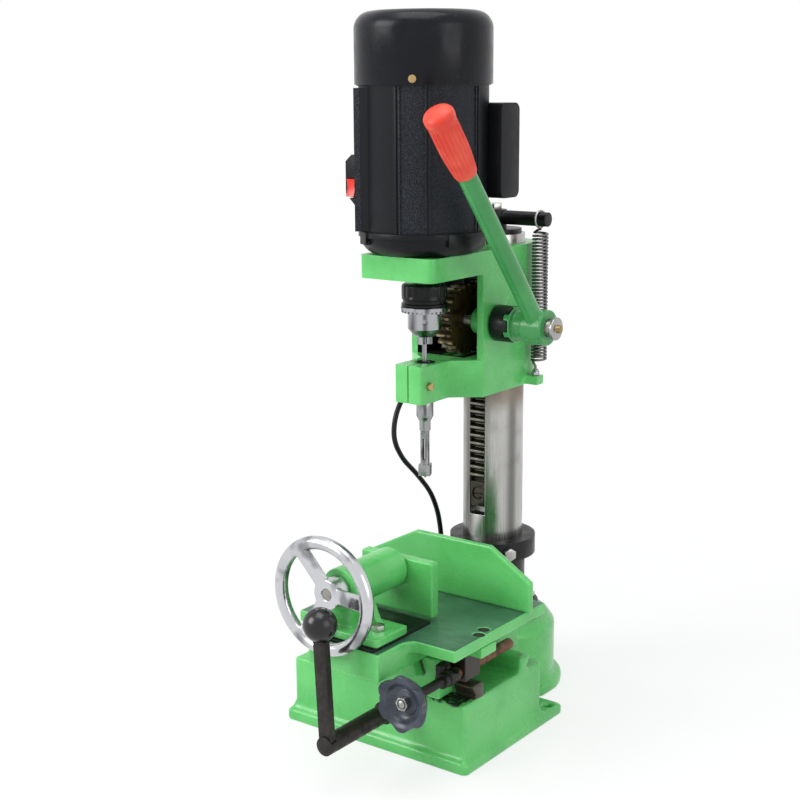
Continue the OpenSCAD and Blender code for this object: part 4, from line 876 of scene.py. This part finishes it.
@dataclass
class Stand(Assembly):
    """The base, the column with its rack, and the spring arm."""

    plain: tuple[Kept, ...] = (
        Crisp("column_sleeve", Palette.black, 1.0, 3),
        Crisp("frame_bolts", Palette.bright_bolt, 0.35),
        Crisp("column", Palette.column, 0.5),
        Crisp("column_rack", Palette.rack, 0.2, 1),
        Crisp("rack_stop", Palette.rack, 0.3),
        Crisp("spring_arm", Palette.black, 2.5, 4))
    half: float = 116 * MM
    front: float = -93 * MM
    back: float = 60 * MM
    lip: float = 7.4 * MM
    foot: float = 11 * MM
    rise: float = 21 * MM
    cell: float = 2.05 * MM

    def build(self) -> list[Object]:
        """Casts the base, with a slope down to its flange, and makes the rest."""
        sink, past, low = -1 * MM, 2 * MM, self.foot - 6 * MM
        slope = [(sink, low), (self.lip, low), (self.lip, self.foot), (past, self.foot + 5 * MM), (0, self.rise),
                 (sink, self.rise)]
        skirt = [Shape.slab([(self.front - out, up) for out, up in slope], Axis.X, -self.half - past, self.half + past)]
        skirt += [Shape.slab([(side * (self.half + out), up) for out, up in slope], Axis.Y, self.front - past,
                             self.back) for side in (-1, 1)]
        base = Shape.of("base_casting").join(*skirt).melt(self.cell, 5)
        return [fit(base.piece("base_casting_casting", 60), Palette.base, "base_casting"), *super().build()]


@dataclass
class CrossSlide(Assembly):
    """The saddle with its gib, rack and screw bracket."""

    plain: tuple[Kept, ...] = (
        Cast("saddle_casting", Palette.green),
        Crisp("saddle_gib", Palette.rail, 0.2, 1),
        Crisp("saddle_rack", Palette.rack, 0.2, 1),
        Cast("screw_bracket", Palette.oiled, 0.7))


@dataclass
class TableTop(Assembly):
    """The work table with its fence, nut block, vise and screws."""

    plain: tuple[Kept, ...] = (
        Cast("work_table", Palette.table, 1.5, 4),
        Cast("feed_nut_block", Palette.nut_block, 1.0),
        Crisp("table_screws", Palette.bright_bolt, 0.35),
        Cast("fence", Palette.green, 1.2, 4),
        Crisp("vise_slide_plate", Palette.black, 0.5),
        Cast("vise_body", Palette.green, 1.1),
        Cast("vise_jaw", Palette.green, 1.1, 4))


@dataclass
class Handwheel(Assembly):
    """The vise's polished handwheel and its screw."""

    plain: tuple[Kept, ...] = (Cast("handwheel", Palette.wheel, 0.8, 8), Crisp("vise_screw", Palette.turned_x))


@dataclass
class FeedScrew(Assembly):
    """The table's feed screw, its lobed knob and the knob's nut."""

    plain: tuple[Kept, ...] = (Crisp("feed_screw", Palette.rust, 0.3),)
    dish_inner: float = 8 * MM
    dish_outer: float = 27 * MM
    dish_depth: float = 4 * MM
    dish_reach: float = 8 * MM

    def build(self) -> list[Object]:
        """Makes the group's pieces."""
        return [*super().build(), self.knob(), self.domed_nut()]

    def knob(self) -> Object:
        """Moulds the lobed knob and hollows its face round the nut."""
        x, _, z = middle("feed_knob")
        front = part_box("feed_knob")[0].y
        shape = Shape.of("feed_knob").melt(0.7 * MM, 6)
        shape.bm.normal_update()
        for vert in shape.bm.verts:
            away = hypot(vert.co.x - x, vert.co.z - z)
            share = (away - self.dish_inner) / (self.dish_outer - self.dish_inner)
            if 0 < share < 1 and vert.normal.y < -0.3 and vert.co.y < front + self.dish_reach:
                vert.co.y += self.dish_depth * sin(pi * share) ** 2
        return fit(shape.piece("feed_knob_moulding", 60), Palette.knob, "feed_knob")

    def domed_nut(self) -> Object:
        """Caps the knob's nut with a dome."""
        x, _, z = middle("feed_knob_nut")
        rows = [(0, -3.4), (2.2, -3.1), (4, -2.1), (5.2, -0.6), (5.4, 0.6), (0, 0.6)]
        place = Matrix.Translation((x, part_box("feed_knob_nut")[0].y + 1.2 * MM, z)) @ Matrix.Rotation(-pi / 2, 4, "X")
        dome = Shape.lathe([(r * MM, y * MM) for r, y in rows], 48).moved(place)
        nut = Shape.of("feed_knob_nut").soften(0.5 * MM, 3).join(dome)
        return fit(nut.piece("feed_knob_nut_domed"), Palette.bright_bolt, "feed_knob_nut")


@dataclass
class Crank(Assembly):
    """The crank that feeds the saddle."""

    plain: tuple[Kept, ...] = (
        Crisp("crank_shaft", Palette.oiled, 0.7, 3),
        Crisp("crank_pinion", Palette.small_gear, 0.2, 1),
        Crisp("crank_arm", Palette.oiled, 0.8, 3))
    ball_radius: float = 17.5 * MM

    def build(self) -> list[Object]:
        """Makes the group's pieces."""
        x, y, _ = middle("crank_ball")
        ball = Shape.ball((x, y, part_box("crank_ball")[1].z - self.ball_radius), self.ball_radius)
        return [fit(ball.piece("crank_ball_moulding"), Palette.ball, "crank_ball"), *super().build()]


@dataclass
class Head(Assembly):
    """The head casting with its chisel, bolt, bushes and spring stud."""

    plain: tuple[Kept, ...] = (
        Crisp("head_casting", Palette.head, 1.3, 3, 9),
        Crisp("chisel_clamp_bolt", Palette.zinc, 0.4, 3),
        Crisp("chisel_bush", Palette.black),
        Crisp("hollow_chisel", Palette.chisel, 0.3),
        Crisp("pinion_bushes", Palette.zinc, 0.3),
        Cast("spring_stud", Palette.chrome, 0.4, 3))


@dataclass
class Motor(Assembly):
    """The motor with its cover, boxes, switch and spindle."""

    plain: tuple[Kept, ...] = (
        Crisp("motor_end_bell", Palette.bell, 1.2, 3),
        Crisp("motor_body", Palette.motor, 0.5),
        Kept("motor_stator", Palette.windings),
        Crisp("fan_cover", Palette.cover, 0.6),
        Crisp("motor_screws", Palette.zinc),
        Kept("motor_bearings", Palette.rotor),
        Crisp("switch_box", Palette.box, 2.0, 3),
        Crisp("switch_rocker", Palette.rocker, 0.6, 3),
        Crisp("capacitor_box", Palette.box, 1.5, 3),
        Crisp("cord_gland", Palette.dull, 1.0, 3),
        Kept("motor_rotor", Palette.turned_x),
        Kept("motor_fan", Palette.dull))


@dataclass
class Chuck(Assembly):
    """The keyed chuck with its sleeve and ring, and the auger bit."""

    plain: tuple[Kept, ...] = (Crisp("chuck_ring", Palette.chrome, 0.2, 1), Kept("auger_bit", Palette.chrome))
    parting: float = 473.2 * MM
    bore: float = 8.1 * MM
    radius: float = 25 * MM
    flutes: int = 18
    flute_depth: float = 0.8 * MM

    def build(self) -> list[Object]:
        """Makes the group's pieces."""
        lower = Shape.of("chuck_body").below(self.parting).soften(0.7 * MM, 3)
        return [self.sleeve(), fit(lower.piece("chuck_body_machined"), Palette.chrome, "chuck_body"),
                *super().build()]

    def sleeve(self) -> Object:
        """Turns the black sleeve, with a lip, a groove and a fluted upper half."""
        low, high, r = self.parting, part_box("chuck_body")[1].z, self.radius
        rows = [(0, -1.2), (1.2, 0), (3.4, 0), (4.2, -1.6), (7.6, -1.6), (8.4, -0.4), (10.5, -0.4), (11.5, -0.4),
                (13, -0.3), (15, -0.3), (18, -0.3), (20, -0.3), (22, -0.3), (23, -0.5), (23.8, -1.4)]
        outside = [(r + out * MM, low + up * MM) for up, out in rows]
        shape = Shape.lathe([(self.bore, low), *outside, (r - 3 * MM, high), (self.bore, high)], 144)
        shape.fluted(self.flutes, self.flute_depth, low + 10.8 * MM, high - 1.6 * MM, r - 2 * MM)
        return fit(shape.piece("chuck_sleeve_turned"), Palette.sleeve, body="spindle")


@dataclass
class RackLever(Assembly):
    """The pinion, its shaft and clutch, and the lever."""

    plain: tuple[Kept, ...] = (
        Crisp("head_pinion", Palette.gear, 0.25, 1),
        Crisp("pinion_shaft", Palette.turned_x, 0.5),
        Crisp("clutch_collar", Palette.black, 0.6),
        Crisp("lever_end_bolt", Palette.end_bolt, 0.5),
        Cast("lever", Palette.lever, 0.9))
    pivot: Point = (101 * MM, 69.5 * MM, 450 * MM)
    lean: float = 39.3
    reach: float = 300 * MM
    flutes: int = 20
    flute_depth: float = 1.5 * MM

    def build(self) -> list[Object]:
        """Makes the plain pieces and the leaning, fluted grip."""
        rows = [(10.3, -80), (11.3, -80), (12.2, -77), (13.4, -66), (14.4, -56), (15, -46), (15, -36), (15, -26),
                (15, -18), (15, -13.5), (15.7, -12), (15.8, -8.5), (15.6, -6), (14.2, -3.6), (11, -1.8), (7, -0.8),
                (0, -0.2), (0, -5.4), (10.3, -5.4)]
        grip = Shape.lathe([(r * MM, self.reach + z * MM) for r, z in rows], 160)
        grip.fluted(self.flutes, self.flute_depth, self.reach - 68 * MM, self.reach - 15 * MM, 11 * MM)
        grip.moved(Matrix.Translation(self.pivot) @ Matrix.Rotation(radians(self.lean), 4, "X"))
        return [*super().build(), fit(grip.piece("lever_grip_moulding", 50), Palette.grip, "lever_grip")]


@dataclass
class ReturnSpring(Assembly):
    """The spring that lifts the head."""

    centre: tuple[float, float] = (61 * MM, 137 * MM)
    radius: float = 8 * MM
    wire: float = 2.9 * MM
    curls: int = 38
    steps: int = 24
    low: float = 399 * MM
    high: float = 543.5 * MM
    stud: Point = (57 * MM, 137 * MM, 388.8 * MM)
    arm_z: float = 550.2 * MM
    bar_z: float = 558.5 * MM
    eye_radius: float = 9.4 * MM
    eye_wire: float = 2.4 * MM

    def path(self) -> list[Vector]:
        """The wire's middle line, from the stud up to the arm."""
        x, y = self.centre
        foot = [Vector(self.stud), Vector(self.stud) + Vector((0, 0, self.wire)),
                Vector((x - self.radius + 1 * MM, y - 0.5 * MM, self.low - 3 * MM))]
        count = self.curls * self.steps
        curls = []
        for i in range(count + 1):
            angle = pi + 2 * pi * i / self.steps
            curls.append(Vector((x + self.radius * cos(angle), y + self.radius * sin(angle),
                                 self.low + (self.high - self.low) * i / count)))
        top = [Vector((x - self.radius / 2, y + 1 * MM, self.high + 3 * MM)),
               Vector((x, y, self.arm_z - self.wire)), Vector((x, y, self.arm_z))]
        return foot + curls + top

    def build(self) -> list[Object]:
        """Builds the spring, and its eye round the arm's bar."""
        wire = Shape.tube(self.path(), self.wire / 2).piece("return_spring_wire", 60)
        spring = dressed(wire, Palette.spring, "return_spring")
        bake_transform(spring)
        x, y = self.centre
        ring = [Vector((x + 0.12 * self.eye_radius * sin(turn), y + self.eye_radius * sin(turn),
                        self.bar_z - self.eye_radius * cos(turn)))
                for turn in (radians(a) for a in range(6, 356, 6))]
        eye = Shape.tube(ring, self.eye_wire / 2).piece("return_spring_eye", 60)
        return [spring, fit(eye, Palette.bright_bolt, body="base")]


@dataclass
class MainsLead(Assembly):
    """The mains cord with its tie and plug."""

    plain: tuple[Kept, ...] = (Crisp("cord_tie", Palette.dull, 0.3), Crisp("mains_plug", Palette.plug, 1.5, 3))
    diameter: float = 6 * MM
    sides: int = 16
    lie: float = 4.2 * MM
    gland: float = 78 * MM * cos(pi / 4)
    gland_z: float = 552 * MM
    coil_outer: float = 41 * MM
    coil_pitch: float = 6.5 * MM
    layer_loops: float = 2.5
    loop_steps: int = 48
    tail: float = 14 * MM

    def route(self) -> list[Vector]:
        """The free stretch's points, as the source gives them in millimetres."""
        gland, lie = self.gland / MM, self.lie / MM
        rows = [(-gland, gland, 552), (-gland, gland, 549.5), (-gland, gland, 546), (-56, 61, 524),
                (-57, 77, 496), (-58, 91, 462), (-59, 92, 425), (-58.5, 72, 392), (-58, 45, 366), (-58, 25, 341),
                (-58, 21, 314), (-58, 36, 288), (-58, 64, 262), (-58, 89, 236), (-58, 103, 212), (-58, 110, 190),
                (-59, 115, 164), (-64, 121, 136), (-76, 130, 104), (-90, 146, 70), (-101, 168, 36), (-106, 196, 13),
                (-107, 222, lie), (-107, 242, lie), (-107, 256, lie)]
        return [Vector(row) * MM for row in rows]

    def coil(self, start: Vector) -> list[Vector]:
        """The coil's points: two layers that spiral in and out again."""
        centre = start + Vector((self.coil_outer, 0, 0))
        made = []
        for i in range(1, int(2 * self.layer_loops * self.loop_steps) + 1):
            turn = i / self.loop_steps
            angle = pi - 2 * pi * turn
            radius = self.coil_outer - self.coil_pitch * (self.layer_loops - abs(turn - self.layer_loops))
            climb = min(1.0, max(0.0, (turn - self.layer_loops + 0.25) / 0.5))
            made.append(Vector((centre.x + radius * cos(angle), centre.y + radius * sin(angle),
                                self.lie + self.coil_pitch * climb)))
        top = self.lie + self.coil_pitch
        return made + [Vector((start.x, start.y + self.tail * share, top)) for share in (0.5, 1.0)]

    def build(self) -> list[Object]:
        """Builds the cord with its tie and plug."""
        free = smooth_path(self.route(), 8)
        path = free + self.coil(free[-1])
        sheath = Shape.tube(path, self.diameter / 2, self.sides).piece("mains_cord_sheath", 60)
        cord = dressed(sheath, Palette.sheath, "mains_cord", "cord_coil")
        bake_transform(cord)
        ends = super().build()
        return [cord, *ends]


# ---- camera, lights and floor


@dataclass
class Studio:
    """The photograph's camera, soft lights and a white floor.

    A lamp is its name, place, side in metres and power in watts.
    """

    picture: float = 800.0
    focal: float = 1436.19
    azimuth: float = 36.85
    pitch: float = 12.36
    roll: float = -0.43
    place: Point = (0.89693, -1.24200, 0.70529)
    sensor: float = 36.0
    far: float = 50.0
    aim: Point = (0.0, 0.02, 0.4)
    lamps: tuple[tuple[str, Point, float, float], ...] = (
        ("key", (-1.3, -1.9, 1.5), 1.3, 38), ("top", (0.1, -0.4, 2.3), 1.4, 20), ("right", (2.1, -0.3, 0.9), 1.2, 9))
    sky: Colour = (0.95, 0.97, 1.0, 1.0)
    sky_light: float = 0.45
    floor_size: float = 12.0
    floor_drop: float = 0.2 * MM
    paper: Colour = (0.93, 0.93, 0.93, 1.0)
    floor_glow: float = 1.05
    fade: tuple[float, ...] = (0.45, 1.5, 0.7, 1.0)

    def camera(self) -> None:
        """Makes the camera at the photograph's angle."""
        turn = (Matrix.Rotation(radians(self.azimuth), 4, "Z") @ Matrix.Rotation(radians(90 - self.pitch), 4, "X")
                @ Matrix.Rotation(radians(self.roll), 4, "Z"))
        data = bpy.data.cameras.new("camera")
        data.sensor_width = self.sensor
        data.lens = self.focal / self.picture * self.sensor
        data.clip_end = self.far
        bpy.context.scene.camera = self.placed(data, Matrix.Translation(self.place) @ turn)

    @staticmethod
    def placed(data: bpy.types.ID, place: Matrix) -> Object:
        """A camera or light in its place in the scene."""
        made = bpy.data.objects.new(data.name, data)
        made.matrix_world = place
        bpy.context.scene.collection.objects.link(made)
        return made

    def world(self) -> None:
        """Makes the surround, white to look at with a mild light."""
        world = bpy.data.worlds.new("surround")
        world.use_nodes = True
        graph = Graph(world.node_tree)
        sky = graph.find("BACKGROUND")
        graph.fill(sky, {"Color": self.sky, "Strength": self.sky_light})
        white = graph.node("Background", {"Color": WHITE})
        graph.show_mix("OUTPUT_WORLD", graph.seen(), Socket(graph, sky.outputs[0]), white)
        bpy.context.scene.world = world

    def floor(self) -> None:
        """Makes the white floor that takes the shadow."""
        shape = Shape()
        bmesh.ops.create_grid(shape.bm, x_segments=1, y_segments=1, size=self.floor_size)
        floor = shape.piece("floor")
        floor.location.z = -self.floor_drop
        s = Shader("floor_paper")
        s.fill(s.surface, {"Base Color": self.paper, "Roughness": 0.9, "Specular IOR Level": 0.1})
        floor.data.materials.append(s.material)
        glow = s.node("Emission", {"Color": WHITE, "Strength": self.floor_glow})
        away = s.node("VectorMath", {0: s.place}, "Value", operation="LENGTH")
        faded = s.node("MapRange", {0: away, **dict(enumerate(self.fade, 1))})
        s.show_mix("OUTPUT_MATERIAL", s.seen() * faded, Socket(s, s.surface.outputs[0]), glow)

    def build(self) -> None:
        """Makes the camera, the lights, the surround and the floor."""
        self.camera()
        self.world()
        self.floor()
        for name, place, side, power in self.lamps:
            data = bpy.data.lights.new(name, "AREA")
            data.size = side
            data.energy = power
            turn = (Vector(self.aim) - Vector(place)).to_track_quat("-Z", "Y").to_matrix().to_4x4()
            self.placed(data, Matrix.Translation(place) @ turn)
        bpy.context.scene.view_settings.view_transform = "Standard"


def main() -> None:
    """Builds the studio and every sub-assembly."""
    logging.basicConfig(level=logging.INFO, format="%(name)s: %(message)s")
    Studio().build()
    groups: list[Assembly] = [MainsLead(), Stand(), CrossSlide(), TableTop(), Handwheel(), FeedScrew(), Crank(),
                              Head(), Motor(), Chuck(), RackLever(), ReturnSpring()]
    for group in groups:
        for piece in group.build():
            LOG.info("%s: %s, %d faces", type(group).__name__, piece.name, len(piece.data.polygons))


if __name__ == "__main__":
    main()
